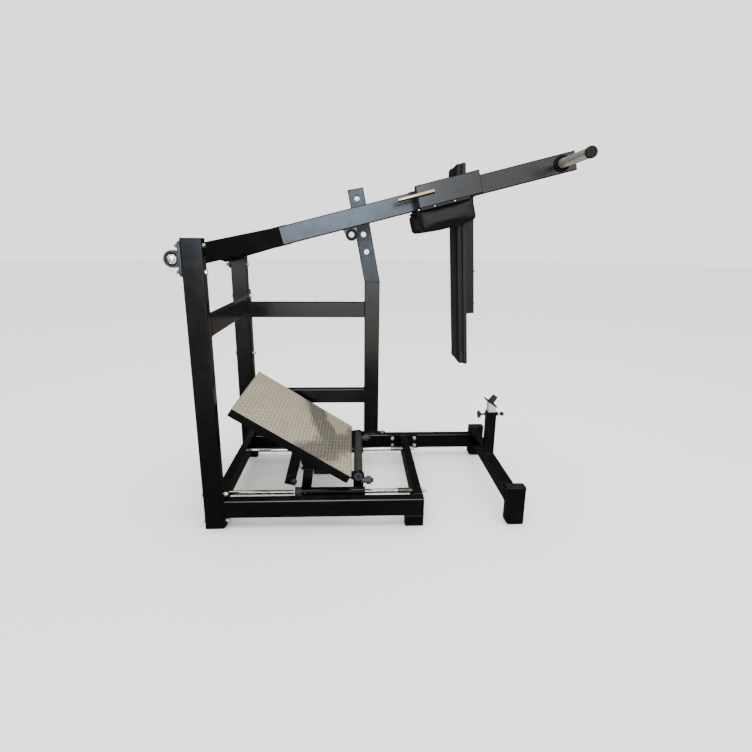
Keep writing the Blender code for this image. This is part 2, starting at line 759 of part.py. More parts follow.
def build_star_knob(knob_axis):
    """Clamp knob with five lobes on its threaded stem."""
    outline = []
    count = 8 * CLAMP_LOBES
    for i in range(count):
        angle = 2 * math.pi * i / count
        radius = CLAMP_KNOB_RADIUS + CLAMP_LOBE * math.cos(CLAMP_LOBES * angle)
        outline.append((radius * math.cos(angle), radius * math.sin(angle)))
    turn = (0, UP, 0)
    mesh = prism_mesh("star_knob", outline, CLAMP_KNOB_LENGTH)
    start = (CLAMP_KNOB_START, 0, 0)
    knob = place("star_knob", mesh, "black_plastic", knob_axis, start, turn, smooth=True)
    profile = rod_profile(CLAMP_STEM_RADIUS, CLAMP_STEM_LENGTH, 0.8 * BAR_CHAMFER)
    stem = turned_mesh("tool_knob_stem", profile, 16)
    start = (CLAMP_STEM_START, 0, 0)
    join_with(knob, place("tool_knob_stem", stem, "black_plastic", knob_axis, start, turn))


def build_pivot(arm):
    """Shaft, bearing inserts and the sleeve that the yoke legs are welded to."""
    profile = rod_profile(SHAFT_RADIUS, 2 * SHAFT_HALF, BAR_CHAMFER)
    shaft = turned_mesh("pivot_shaft", profile, 28)
    place("pivot_shaft", shaft, "chrome", arm, (0, -SHAFT_HALF, 0), (-UP, 0, 0), smooth=True)
    inner = SHAFT_RADIUS + GAP
    outer = BORE_RADIUS - GAP
    half = [(inner, COLLAR_HALF), (COLLAR_RADIUS, COLLAR_HALF)]
    half += [(COLLAR_RADIUS, RACE_HALF + RACE_RIM), (outer, RACE_HALF)]
    profile = [(radius, -y) for radius, y in half] + list(reversed(half))
    for label, side in SIDES:
        name = f"{label}_bearing_insert"
        mesh = turned_mesh(name, profile, 28, True)
        place(name, mesh, "zinc", arm, (0, side * SIDE_Y, 0), (-UP, 0, 0), smooth=True)
    profile = pipe_profile(inner, TUBE_WIDE / 2, 2 * SLEEVE_HALF)
    sleeve = turned_mesh("pivot_tube", profile, 28, True)
    start = (0, -SLEEVE_HALF, 0)
    place("pivot_tube", sleeve, "black_powder_coat", arm, start, (-UP, 0, 0), smooth=True)


def build_yoke(arm):
    """Two legs that spread from the beam's sides to the pivot sleeve."""
    start_u = TUBE_WIDE / 2 + GAP
    end_y = TUBE_WIDE / 2 + GAP
    start_y = (YOKE_MEETING - start_u) * math.tan(YOKE_SPREAD)
    length = (start_y - end_y) / math.sin(YOKE_SPREAD)
    for label, side in SIDES:
        name = f"{label}_yoke_leg"
        turn = -side * YOKE_SPREAD
        cuts = ((math.tan(turn), 0), (-1 / math.tan(turn), 0))
        mesh = tube_mesh(name, FRAME_TUBE, length, TUBE_WALL, cuts)
        start = (start_u, side * start_y, 0)
        place(name, mesh, "black_powder_coat", arm, start, (0, 0, turn))


def build_beam(arm):
    """Beam in two lengths with the open head frame between them."""
    pieces = (("rear_beam", BEAM_START, HEAD_START, 0), ("front_beam", HEAD_END, BEAM_END, CAP))
    for name, start, end, plate in pieces:
        mesh = tube_mesh(name, FRAME_TUBE, end - start - 2 * GAP, plates=(0, plate))
        place(name, mesh, "black_powder_coat", arm, (start + GAP, 0, 0))
    inner = HEAD_GAP / 2
    rail_start = HEAD_START - HEAD_RAIL_OVERHANG
    rail_end = HEAD_END + HEAD_RAIL_OVERHANG
    rail_v = (HEAD_RAIL_DEEP - TUBE_DEEP) / 2
    section = (TUBE_WIDE, HEAD_RAIL_DEEP)
    for label, side in SIDES:
        name = f"{label}_head_rail"
        mesh = tube_mesh(name, section, rail_end - rail_start, plates=(CAP, CAP))
        y = side * (inner + TUBE_WIDE / 2)
        rail = place(name, mesh, "black_powder_coat", arm, (rail_start, y, rail_v))
        vent(rail, arm, (rail_end, y, rail_v), (1, 0, 0))
    crosspieces = (("rear", HEAD_START + TUBE_WIDE / 2), ("front", HEAD_END - TUBE_WIDE / 2))
    for label, u in crosspieces:
        name = f"{label}_head_crosspiece"
        mesh = tube_mesh(name, FRAME_TUBE, HEAD_GAP - 2 * GAP)
        place(name, mesh, "black_powder_coat", arm, (u, GAP - inner, 0), (0, 0, UP))


def build_handles(arm):
    """Grip bars welded along the outer faces of the head frame."""
    for label, side in SIDES:
        name = f"{label}_handle"
        profile = rod_profile(HANDLE_RADIUS, HANDLE_LENGTH, HANDLE_CHAMFER)
        mesh = turned_mesh(name, profile, 16)
        y = side * (HEAD_GAP / 2 + TUBE_WIDE + GAP + HANDLE_RADIUS)
        start = (HANDLE_START, y, HANDLE_V)
        place(name, mesh, "yellow_zinc", arm, start, (0, UP, 0), smooth=True)


def build_horns(arm):
    """Weight horns near the end of the beam: a seat disc, a hollow sleeve and an end cap."""
    start = TUBE_WIDE / 2 + GAP
    bore = HORN_RADIUS - TUBE_WALL
    end = HORN_REACH + HORN_CAP
    profile = [(0, HORN_REACH), (bore, HORN_REACH), (bore, 0)]
    profile += [(HORN_SEAT_RADIUS, 0), (HORN_SEAT_RADIUS, HORN_SEAT), (HORN_RADIUS, HORN_SEAT)]
    profile += [(HORN_RADIUS, HORN_REACH), (HORN_CAP_RADIUS, HORN_REACH)]
    profile += [(HORN_CAP_RADIUS, end - HORN_CAP_EDGE), (HORN_RADIUS, end), (0, end)]
    for label, side in SIDES:
        name = f"{label}_weight_horn"
        mesh = turned_mesh(name, profile, 28)
        place(name, mesh, "chrome", arm, (HORN_U, side * start, 0), (-side * UP, 0, 0), smooth=True)


def grid_steps(half, radius, inner):
    """Places of the grid lines across a cushion, close together at its round edges."""
    flat = half - radius
    middle = [-flat + 2 * flat * i / inner for i in range(inner + 1)]
    edge = [flat + radius * part for part in CUSHION_EDGE]
    return [-value for value in reversed(edge)] + middle + edge


def cushion_mesh(name, size, radius, crown, inner=(8, 3, 2)):
    """Stuffed block: round edges, drawn-in corners and a crown on its two broad faces."""
    half = [value / 2 for value in size]
    lines = [grid_steps(half[i], radius, inner[i]) for i in range(3)]
    bm = bmesh.new()
    corners = {}
    for axis in range(3):
        first, second = [i for i in range(3) if i != axis]
        for end in (0, len(lines[axis]) - 1):
            for i in range(len(lines[first]) - 1):
                for j in range(len(lines[second]) - 1):
                    keys = []
                    for di, dj in ((0, 0), (1, 0), (1, 1), (0, 1)):
                        key = [0, 0, 0]
                        key[axis] = end
                        key[first] = i + di
                        key[second] = j + dj
                        keys.append(tuple(key))
                    face = []
                    for key in keys:
                        if key not in corners:
                            point = Vector([lines[k][key[k]] for k in range(3)])
                            corners[key] = bm.verts.new(stuffed(point, half, radius, crown))
                        face.append(corners[key])
                    bm.faces.new(face)
    return to_mesh(bm, name)


def stuffed(point, half, radius, crown):
    """Move a point of the plain block to its place on the stuffed one."""
    flat = Vector([max(-half[i] + radius, min(half[i] - radius, point[i])) for i in range(3)])
    away = point - flat
    if away.length > 0:
        point = flat + away.normalized() * radius
    along = point[0] / half[0]
    across = point[1] / half[1]
    swell = max(0.0, 1 - along ** 4) * max(0.0, 1 - across ** 2)
    draw = 1 - CUSHION_DRAW * along ** 2
    return Vector((point[0], point[1] * draw, point[2] * (1 - crown + crown * swell)))


def build_pads(arm):
    """Shoulder pads under the head frame, and the back pad on its board."""
    top = -(TUBE_DEEP / 2 + GAP)
    for label, side in SIDES:
        name = f"{label}_shoulder_pad"
        mesh = cushion_mesh(name, SHOULDER_PAD, SHOULDER_PAD_ROUND, SHOULDER_PAD_CROWN)
        centre = (SHOULDER_PAD_U, side * SHOULDER_PAD_Y, top - SHOULDER_PAD[2] / 2)
        place(name, mesh, "black_vinyl", arm, centre, smooth=True)
    length = (PAD_TOP - PAD_BOTTOM) / math.cos(PAD_LEAN_AT_REST)
    size = (length, PAD_WIDTH, PAD_THICK)
    mesh = cushion_mesh("back_pad", size, PAD_ROUND, PAD_CROWN, (20, 6, 1))
    middle = (PAD_TOP + PAD_BOTTOM) / 2
    local_lean = ARM_RISE - PAD_LEAN_AT_REST
    centre = pad_line(middle, PAD_THICK / 2)
    place("back_pad", mesh, "black_vinyl", arm, centre, (0, -UP + local_lean, 0), smooth=True)
    outline = rounded_rectangle(BOARD_LENGTH, BOARD_WIDTH, BOARD_CORNER, 1)
    board = prism_mesh("back_pad_board", outline, PAD_BOARD)
    centre = pad_line(BOARD_CENTRE, PAD_THICK + GAP)
    place("back_pad_board", board, "black_plastic", arm, centre, (0, UP + local_lean, 0))


def pad_line(height, depth):
    """A point of the back pad in arm axes, at a height and at a depth behind its front."""
    front = PAD_FRONT_AT_SUPPORT - (height - PAD_SUPPORT_HEIGHT) * math.tan(PAD_LEAN_AT_REST)
    x = front + depth * math.cos(PAD_LEAN_AT_REST)
    z = height + depth * math.sin(PAD_LEAN_AT_REST)
    return in_arm_axes(x, z)


def in_arm_axes(x, z):
    """Turn a point of the centre plane, measured at rest, into arm axes."""
    dx = x + PIVOT_OFFSET
    dz = z - PIVOT_HEIGHT
    u = dx * math.cos(ARM_RISE) + dz * math.sin(ARM_RISE)
    v = dz * math.cos(ARM_RISE) - dx * math.sin(ARM_RISE)
    return Vector((u, 0.0, v))


def build_back_support(arm):
    """Square tube behind the back pad, hung from the front crosspiece."""
    lean = ARM_RISE - PAD_LEAN_AT_REST
    depth = PAD_THICK + PAD_BOARD + 2 * GAP + SUPPORT_DEEP / 2
    low = pad_line(SUPPORT_BOTTOM, depth)
    top_v = -(TUBE_DEEP / 2 + GAP)
    length = (top_v - low.z) / math.cos(lean)
    cuts = ((0, 0), (0, -math.tan(lean)))
    mesh = tube_mesh("back_support_tube", (TUBE_WIDE, SUPPORT_DEEP), length, cuts=cuts)
    place("back_support_tube", mesh, "black_powder_coat", arm, low, (0, -UP + lean, 0))


def build_catch(arm):
    """Rubber roller on a pin plate under the beam."""
    top = -(TUBE_DEEP / 2 + GAP)
    roller_v = top - ROLLER_DROP
    outline = [(-BRACKET_TOP_HALF, ROLLER_DROP), (-BRACKET_LOW_HALF, BRACKET_LOW)]
    outline += [(BRACKET_LOW_HALF, BRACKET_LOW), (BRACKET_TOP_HALF, ROLLER_DROP)]
    mesh = prism_mesh("catch_bracket", outline, PLATE)
    location = (ROLLER_U, BRACKET_Y + PLATE, roller_v)
    bracket = place("catch_bracket", mesh, "black_powder_coat", arm, location, (UP, 0, 0))
    profile = rod_profile(ROLLER_PIN_RADIUS, ROLLER_PIN_LENGTH, BAR_CHAMFER)
    pin = turned_mesh("tool_roller_pin", profile, 24)
    start = (ROLLER_U, BRACKET_Y + BRACKET_WELD, roller_v)
    join_with(bracket, place("tool_roller_pin", pin, "zinc", arm, start, (UP, 0, 0)))
    axis = empty("roller_axis", (ROLLER_U, 0, roller_v), arm)
    rim = ROLLER_RADIUS - ROLLER_CHAMFER
    profile = [(ROLLER_BORE, ROLLER_NEAR_Y), (rim, ROLLER_NEAR_Y)]
    profile.append((ROLLER_RADIUS, ROLLER_NEAR_Y + ROLLER_CHAMFER))
    profile.append((ROLLER_RADIUS, ROLLER_FAR_Y - ROLLER_CHAMFER))
    profile += [(rim, ROLLER_FAR_Y), (ROLLER_BORE, ROLLER_FAR_Y)]
    roller = turned_mesh("catch_roller", profile, 28, True)
    place("catch_roller", roller, "black_rubber", axis, turn=(-UP, 0, 0), smooth=True)


def build_arm(machine):
    """Everything that swings about the pivot."""
    arm = empty("arm_axis", (-PIVOT_OFFSET, 0, PIVOT_HEIGHT), machine, -ARM_RISE)
    build_pivot(arm)
    build_yoke(arm)
    build_beam(arm)
    build_handles(arm)
    build_horns(arm)
    build_pads(arm)
    build_back_support(arm)
    build_catch(arm)


def build_carriage(machine):
    """Slide tubes, washers, props and the hinge tube of the foot carriage."""
    carriage = empty("carriage_slide", (HINGE_X, 0, ROD_HEIGHT), machine)
    hinge_z = HINGE_HEIGHT - ROD_HEIGHT
    for label, side in SIDES:
        build_slide(f"{label}_slide_tube", side, carriage, hinge_z)
    name = "hinge_cross_tube"
    profile = pipe_profile(HINGE_RADIUS - HINGE_WALL, HINGE_RADIUS, 2 * HINGE_HALF)
    mesh = turned_mesh(name, profile, 28, True)
    start = (0, -HINGE_HALF, hinge_z)
    place(name, mesh, "black_powder_coat", carriage, start, (-UP, 0, 0), smooth=True)
    build_foot_plate(carriage, hinge_z)


def build_slide(name, side, carriage, hinge_z):
    """Slide tube on one rod, with the block under the hinge and the prop under the plate."""
    inner = ROD_RADIUS + GAP
    y = side * ROD_Y
    mesh = turned_mesh(name, pipe_profile(inner, SLIDE_RADIUS, SLIDE_END - SLIDE_START), 24, True)
    start = (SLIDE_START - HINGE_X, y, 0)
    slide = place(name, mesh, "black_powder_coat", carriage, start, (0, UP, 0), smooth=True)
    low = (SLIDE_RADIUS + inner) / 2
    height = hinge_z - HINGE_RADIUS - GAP - low
    outline = rounded_rectangle(HINGE_BLOCK_LENGTH, HINGE_BLOCK_WIDTH, BLOCK_EDGE, 1)
    tool_name = f"tool_{name}_block"
    block = prism_mesh(tool_name, outline, height)
    start = (0, side * HINGE_BLOCK_Y, low)
    join_with(slide, place(tool_name, block, "black_powder_coat", carriage, start))
    bm = bmesh.new()
    lean = Matrix.Shear("XY", 4, (PROP_LEAN, 0.0))
    outline = rounded_rectangle(PROP_LENGTH, PROP_WIDTH, BLOCK_EDGE, 1)
    prism_into(bm, outline, PROP_TOP - ROD_HEIGHT - low, lean)
    tool_name = f"tool_{name}_prop"
    prop = to_mesh(bm, tool_name)
    start = (PROP_X - HINGE_X, y, low)
    join_with(slide, place(tool_name, prop, "black_powder_coat", carriage, start))


def build_foot_plate(carriage, hinge_z):
    """Tread plate with folded rims, hung on the hinge tube; local X runs down the slope."""
    hinge = empty("plate_hinge", (0, 0, hinge_z), carriage, PLATE_SLOPE)
    middle = -(PLATE_LOW + PLATE_RUN / 2)
    under = PLATE_RISE - PLATE_SHEET
    mesh = prism_mesh("tread_plate", box_outline(PLATE_RUN, PLATE_WIDTH), PLATE_SHEET)
    sheet = place("tread_plate", mesh, "tread_steel", hinge, (middle, 0, under))
    for label, side in SIDES:
        weld_gusset(sheet, f"tool_{label}_gusset", side, hinge, under)
    side_y = (PLATE_WIDTH - RIM_THICK) / 2
    bottom = under - GAP - RIM_DEEP
    for label, side in SIDES:
        name = f"{label}_plate_rim"
        mesh = prism_mesh(name, box_outline(PLATE_RUN, RIM_THICK), RIM_DEEP)
        place(name, mesh, "black_powder_coat", hinge, (middle, side * side_y, bottom))
    end_width = PLATE_WIDTH - 2 * RIM_THICK - 2 * GAP
    for name, end in (("upper_plate_rim", -1), ("lower_plate_rim", 1)):
        x = middle + end * (PLATE_RUN - RIM_THICK) / 2
        mesh = prism_mesh(name, box_outline(RIM_THICK, end_width), RIM_DEEP)
        rim = place(name, mesh, "black_powder_coat", hinge, (x, 0, bottom))
        if end == 1:
            weld_lugs(rim, hinge, bottom)
    build_adjuster(hinge, under)


def weld_lugs(rim, hinge, bottom):
    """Weld the hinge eyes onto the lower rim and bore them for the hinge tube."""
    points = arc(0, EYE_RADIUS, -EYE_ARC, EYE_ARC, ARC_STEPS)
    reach = -(PLATE_LOW + RIM_THICK / 2)
    points.append((reach, bottom + RIM_DEEP - EYE_NECK_TOP))
    points.append((reach, bottom + EYE_NECK_LOW))
    for label, side in SIDES:
        name = f"tool_{label}_hinge_eye"
        mesh = prism_mesh(name, points, EYE_WIDTH)
        y = side * EYE_Y + EYE_WIDTH / 2
        join_with(rim, place(name, mesh, "black_powder_coat", hinge, (0, y, 0), (UP, 0, 0)))
    bore = HINGE_RADIUS + GAP
    cutter = drill("cutter_eye_bores", hinge, [(0, 0, 0)], (0, 1, 0), bore, EYE_BORE_REACH, 28)
    cut_with(rim, cutter)


def weld_gusset(sheet, name, side, hinge, under):
    """Weld the plate that rests on a prop onto the underside of the tread."""
    rest = PROP_TOP + GAP
    corners = [(GUSSET_REAR, rest), (GUSSET_STEP, rest)]
    corners += [(GUSSET_STEP, GUSSET_LOW), (GUSSET_FRONT, GUSSET_LOW)]
    outline = []
    for x, z in corners:
        dx = x - HINGE_X
        dz = z - HINGE_HEIGHT
        along = dx * math.cos(PLATE_SLOPE) - dz * math.sin(PLATE_SLOPE)
        outline.append((along, dx * math.sin(PLATE_SLOPE) + dz * math.cos(PLATE_SLOPE)))
    top = under + PLATE_SHEET / 2
    outline += [(outline[3][0], top), (outline[0][0], top)]
    mesh = prism_mesh(name, outline, PLATE)
    y = side * ROD_Y + PLATE / 2
    join_with(sheet, place(name, mesh, "black_powder_coat", hinge, (0, y, 0), (UP, 0, 0)))


def build_adjuster(hinge, under):
    """Flat leg under the plate with its hand knob."""
    half = LEG_WIDTH / 2
    top = Vector((LEG_U, LEG_Y, under - GAP))
    along = Vector((math.sin(LEG_LEAN), 0, -math.cos(LEG_LEAN)))
    across = Vector((math.cos(LEG_LEAN), 0, math.sin(LEG_LEAN)))
    outline = []
    for offset, reach in ((-half, 0), (half, 0), (half, 1), (-half, 1)):
        point = across * offset + along * LEG_LENGTH * reach
        if reach == 0:
            point = Vector((offset / math.cos(LEG_LEAN), 0, 0))
        outline.append((point.x, point.z))
    mesh = prism_mesh("adjuster_leg", outline, PLATE)
    far_face = top + Vector((0, PLATE / 2, 0))
    place("adjuster_leg", mesh, "black_powder_coat", hinge, far_face, (UP, 0, 0))
    knob_centre = top + along * KNOB_REACH + across * KNOB_ACROSS
    axis = empty("adjuster_axis", knob_centre, hinge)
    face = PLATE / 2 + GAP
    collar = face + KNOB_STEM_LENGTH
    end = face + KNOB_LENGTH
    profile = [(0, face), (KNOB_STEM, face), (KNOB_STEM, collar)]
    profile += [(KNOB_RADIUS, collar + KNOB_CHAMFER), (KNOB_RADIUS, end - KNOB_CHAMFER)]
    profile += [(KNOB_CROWN, end), (0, end)]
    knob = turned_mesh("adjuster_knob", profile, 18)
    place("adjuster_knob", knob, "black_plastic", axis, turn=(UP, 0, 0), smooth=True)


def build_machine():
    """Build the whole machine under one empty."""
    clear_scene()
    rear = -(PIVOT_OFFSET + HOUSING_RADIUS + GAP)
    beam_end = BEAM_END * math.cos(ARM_RISE) + TUBE_DEEP / 2 * math.sin(ARM_RISE)
    machine = empty("machine", (-(rear + beam_end - PIVOT_OFFSET) / 2, 0, 0))
    build_base(machine)
    build_foot_end(machine)
    build_side_rails(machine)
    build_post(machine)
    build_pillow_blocks(machine)
    build_guide_rods(machine)
    build_stop(machine)
    build_arm(machine)
    build_carriage(machine)
    bpy.context.view_layer.update()


build_machine()
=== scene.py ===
"""Pendulum squat machine, dressed as a workshop would finish it.

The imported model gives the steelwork. This add-on lays the finishes over it and adds what is
fitted afterwards: castings, bolts, weld beads, springs, tread bars, stuffed pads and caps.
Lengths are metres and heights are above the floor. REAR_FACE is the rear face of the
uprights, and most places along the machine are measured forward from it.
"""

import json
import math

import bmesh
import bpy
from bpy.props import FloatProperty, FloatVectorProperty, PointerProperty
from mathutils import Matrix, Vector
from mathutils.bvhtree import BVHTree

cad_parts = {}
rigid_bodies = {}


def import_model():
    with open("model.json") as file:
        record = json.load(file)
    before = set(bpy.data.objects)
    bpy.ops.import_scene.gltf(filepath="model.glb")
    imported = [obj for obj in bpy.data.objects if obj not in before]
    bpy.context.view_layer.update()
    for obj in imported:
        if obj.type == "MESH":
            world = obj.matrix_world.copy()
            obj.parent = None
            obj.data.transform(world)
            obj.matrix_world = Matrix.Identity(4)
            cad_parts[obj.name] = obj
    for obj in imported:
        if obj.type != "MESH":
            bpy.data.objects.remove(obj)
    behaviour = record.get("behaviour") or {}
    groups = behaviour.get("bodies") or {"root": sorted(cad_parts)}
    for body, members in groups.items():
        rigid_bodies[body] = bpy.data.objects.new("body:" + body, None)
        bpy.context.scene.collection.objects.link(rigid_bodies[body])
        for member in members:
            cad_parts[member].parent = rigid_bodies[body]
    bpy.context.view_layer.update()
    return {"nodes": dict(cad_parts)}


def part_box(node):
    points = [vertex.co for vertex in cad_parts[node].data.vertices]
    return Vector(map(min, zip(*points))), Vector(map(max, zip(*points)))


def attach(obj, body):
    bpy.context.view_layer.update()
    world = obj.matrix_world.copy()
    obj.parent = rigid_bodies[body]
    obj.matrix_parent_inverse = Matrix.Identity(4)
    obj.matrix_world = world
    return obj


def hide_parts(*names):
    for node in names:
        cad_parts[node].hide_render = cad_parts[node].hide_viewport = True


bl_info = {
    "name": "Pendulum Squat Machine",
    "version": (1, 0, 0),
    "blender": (4, 5, 0),
    "location": "View3D > Sidebar > Squat Machine",
    "description": "Dresses the squat machine with its finishes, fasteners, welds and pads",
    "category": "Object",
}

for leftover in list(bpy.data.objects):
    bpy.data.objects.remove(leftover, do_unlink=True)
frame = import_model()

SIDES = (("near", -1), ("far", 1))
UP = math.radians(90)


def middle(node):
    """The middle of a CAD node's box."""
    low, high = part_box(node)
    return (low + high) / 2


# Places that the steelwork gives
UPRIGHT_LOW, UPRIGHT_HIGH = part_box("near_upright")
FAR_UPRIGHT_LOW, FAR_UPRIGHT_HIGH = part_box("far_upright")
REAR_FACE = UPRIGHT_LOW.x
UPRIGHT_Y = FAR_UPRIGHT_LOW.y / 2 + FAR_UPRIGHT_HIGH.y / 2
INNER_Y = FAR_UPRIGHT_LOW.y
OUTER_Y = FAR_UPRIGHT_HIGH.y
PIVOT = middle("pivot_shaft")
HINGE = middle("hinge_cross_tube")
ROD_Y = middle("far_guide_rod").y
ROD_Z = middle("far_guide_rod").z
STOP_X = middle("stop_post").x

# Slopes of the swinging arm and of the foot plate at rest
ARM_RISE = math.radians(14.4)
PLATE_SLOPE = math.radians(32.9)

# Stations along the arm, from the pivot
BEAM_HALF_DEEP = 0.050
HANDLE_START = 1.094
HANDLE_LENGTH = 0.189
HORN_STATION = 2.005
HORN_REACH = 0.290
HORN_RADIUS = 0.025
SHOULDER_PAD_STATION = 1.3175
SHOULDER_PAD_Y = 0.160
SHOULDER_PAD_SIZE = (0.300, 0.108, 0.127)
SHOULDER_BOARD = 0.012
PAD_THICK = 0.043
PAD_LEAN = math.radians(3.7)

# The tubes, and places of the frame
TUBE_DEEP = 0.100
TUBE_WIDE = 0.050
RAIL_HEIGHT = 0.112
FRONT_CROSS_X = 1.138
POST_X = 0.907
POST_KINK = 1.240
POST_LEAN = math.radians(10.8)
STOP_SLANT = math.radians(34.0)
PIN_HEIGHT = 0.470
BLOCK_BOLT_REACH = 0.0605


def at(x, y, z):
    """A point measured forward from the rear face of the uprights."""
    return Vector((REAR_FACE + x, y, z))


def on_arm(along, y, above):
    """A point of the swinging arm at rest, along the beam and square to it."""
    x = along * math.cos(ARM_RISE) - above * math.sin(ARM_RISE)
    z = along * math.sin(ARM_RISE) + above * math.cos(ARM_RISE)
    return Vector((PIVOT.x + x, y, PIVOT.z + z))


def on_plate(along, y, above):
    """A point of the foot plate at rest; along is negative up the slope from the hinge."""
    x = along * math.cos(PLATE_SLOPE) + above * math.sin(PLATE_SLOPE)
    z = above * math.cos(PLATE_SLOPE) - along * math.sin(PLATE_SLOPE)
    return Vector((HINGE.x + x, y, HINGE.z + z))


ARM_ALONG = on_arm(1, 0, 0) - on_arm(0, 0, 0)
ARM_ABOVE = on_arm(0, 0, 1) - on_arm(0, 0, 0)
PLATE_ALONG = on_plate(1, 0, 0) - on_plate(0, 0, 0)
PLATE_ABOVE = on_plate(0, 0, 1) - on_plate(0, 0, 0)
ACROSS = Vector((0, 1, 0))
FORWARD = Vector((1, 0, 0))
UPWARD = Vector((0, 0, 1))


class FinishSettings(bpy.types.PropertyGroup):
    """Colours of the surface finishes."""

    powder: FloatVectorProperty(
        name="Powder Coat", description="Colour of the satin powder coat on the tubes",
        subtype="COLOR", min=0.0, max=1.0, default=(0.0020, 0.0020, 0.0021),
    )
    vinyl: FloatVectorProperty(
        name="Vinyl", description="Colour of the covers of the pads",
        subtype="COLOR", min=0.0, max=1.0, default=(0.0044, 0.0045, 0.0041),
    )
    tread: FloatVectorProperty(
        name="Tread", description="Colour of the bare tread plate",
        subtype="COLOR", min=0.0, max=1.0, default=(0.47, 0.43, 0.34),
    )
    chrome: FloatVectorProperty(
        name="Chrome", description="Colour of the chromed rods, horns and shaft",
        subtype="COLOR", min=0.0, max=1.0, default=(0.48, 0.43, 0.35),
    )
    zinc: FloatVectorProperty(
        name="Bright Zinc", description="Colour of the bolts, nuts and washers",
        subtype="COLOR", min=0.0, max=1.0, default=(0.80, 0.82, 0.83),
    )
    yellow_zinc: FloatVectorProperty(
        name="Yellow Zinc", description="Colour of the passivated grip bars",
        subtype="COLOR", min=0.0, max=1.0, default=(0.34, 0.265, 0.13),
    )
    iron: FloatVectorProperty(
        name="Cast Iron", description="Colour of the painted bearing housings",
        subtype="COLOR", min=0.0, max=1.0, default=(0.050, 0.053, 0.058),
    )


class FastenerSettings(bpy.types.PropertyGroup):
    """Sizes of the bolts and of the weld beads."""

    across_flats: FloatProperty(
        name="Across Flats", description="Width of the hexagon heads that hold the frame together",
        unit="LENGTH", min=0.010, max=0.030, default=0.019,
    )
    washer_radius: FloatProperty(
        name="Washer Radius", description="Outer radius of the washers under the frame bolts",
        unit="LENGTH", min=0.008, max=0.020, default=0.0125,
    )
    bead_radius: FloatProperty(
        name="Weld Bead", description="Radius of the weld beads at the tube joints",
        unit="LENGTH", min=0.001, max=0.005, default=0.0026,
    )
    bead_pitch: FloatProperty(
        name="Weld Ripple", description="Distance between the ripples of a weld bead",
        unit="LENGTH", min=0.002, max=0.010, default=0.0042,
    )


class PadSettings(bpy.types.PropertyGroup):
    """How the pads are stuffed and sewn."""

    voxel: FloatProperty(
        name="Cloth Grid", description="Size of the cells that the pad cover is made of before it swells",
        unit="LENGTH", min=0.003, max=0.010, default=0.005,
    )
    pressure: FloatProperty(
        name="Stuffing", description="Pressure of the foam behind the cover",
        min=0.0, max=20.0, default=4.0,
    )
    puff: FloatProperty(
        name="Swell", description="Furthest that the foam pushes the cover outwards",
        unit="LENGTH", min=0.0, max=0.020, default=0.006,
    )
    seam_radius: FloatProperty(
        name="Seam", description="Radius of the turned-in seam along the pad's edges",
        unit="LENGTH", min=0.0005, max=0.004, default=0.0014,
    )
    stitch_pitch: FloatProperty(
        name="Stitch Pitch", description="Distance from one stitch to the next",
        unit="LENGTH", min=0.002, max=0.010, default=0.0046,
    )


class StageSettings(bpy.types.PropertyGroup):
    """Floor, lamp and the surrounding light."""

    floor: FloatVectorProperty(
        name="Floor", description="Colour of the studio floor",
        subtype="COLOR", min=0.0, max=1.0, default=(0.94, 0.94, 0.935),
    )
    surround: FloatProperty(
        name="Surround", description="Strength of the even light from all sides",
        min=0.0, max=3.0, default=1.9,
    )
    overhead: FloatProperty(
        name="Overhead", description="Power of the large lamp above the machine",
        unit="POWER", min=0.0, max=3000.0, default=160.0,
    )
    window: FloatProperty(
        name="Window", description="Strength of the cool window that shows in the beam",
        min=0.0, max=100.0, default=18.5,
    )
    wall: FloatProperty(
        name="Wall", description="Strength of the warm wall that shows in the end of the arm",
        min=0.0, max=100.0, default=4.0,
    )
    low_wall: FloatProperty(
        name="Low Wall", description="Strength of the wall's foot, which shows in the lower rails",
        min=0.0, max=100.0, default=2.4,
    )
    ceiling: FloatProperty(
        name="Ceiling", description="Strength of the reflected ceiling",
        min=0.0, max=5.0, default=1.2,
    )
    reflected_floor: FloatProperty(
        name="Reflected Floor", description="Strength of the floor as it shows in what shines",
        min=0.0, max=5.0, default=0.24,
    )


def start_material(name, colour, metallic, roughness):
    """A new material with its Principled shader set to even values."""
    material = bpy.data.materials.new(name)
    material.use_nodes = True
    shader = material.node_tree.nodes["Principled BSDF"]
    shader.inputs["Base Color"].default_value = (*colour, 1.0)
    shader.inputs["Metallic"].default_value = metallic
    shader.inputs["Roughness"].default_value = roughness
    material.diffuse_color = (*colour, 1.0)
    return material, shader


def wire(material, output, socket):
    """Join two sockets."""
    material.node_tree.links.new(output, socket)


def object_space(material, stretch=(1, 1, 1)):
    """Coordinates in metres that move with the piece, stretched along its axes."""
    coordinates = material.node_tree.nodes.new("ShaderNodeTexCoord")
    mapping = material.node_tree.nodes.new("ShaderNodeMapping")
    mapping.inputs["Scale"].default_value = stretch
    wire(material, coordinates.outputs["Object"], mapping.inputs["Vector"])
    return mapping.outputs["Vector"]


def start_finish(name, colour, metallic, roughness):
    """A new material, its shader and the coordinates of its patterns."""
    material, shader = start_material(name, colour, metallic, roughness)
    return material, shader, object_space(material)


def noise(material, space, scale, detail=2.0, roughness=0.5, distortion=0.0):
    """The value of a noise pattern; scale is in patches to the metre."""
    made = material.node_tree.nodes.new("ShaderNodeTexNoise")
    made.inputs["Scale"].default_value = scale
    made.inputs["Detail"].default_value = detail
    made.inputs["Roughness"].default_value = roughness
    made.inputs["Distortion"].default_value = distortion
    wire(material, space, made.inputs["Vector"])
    return made.outputs["Fac"]


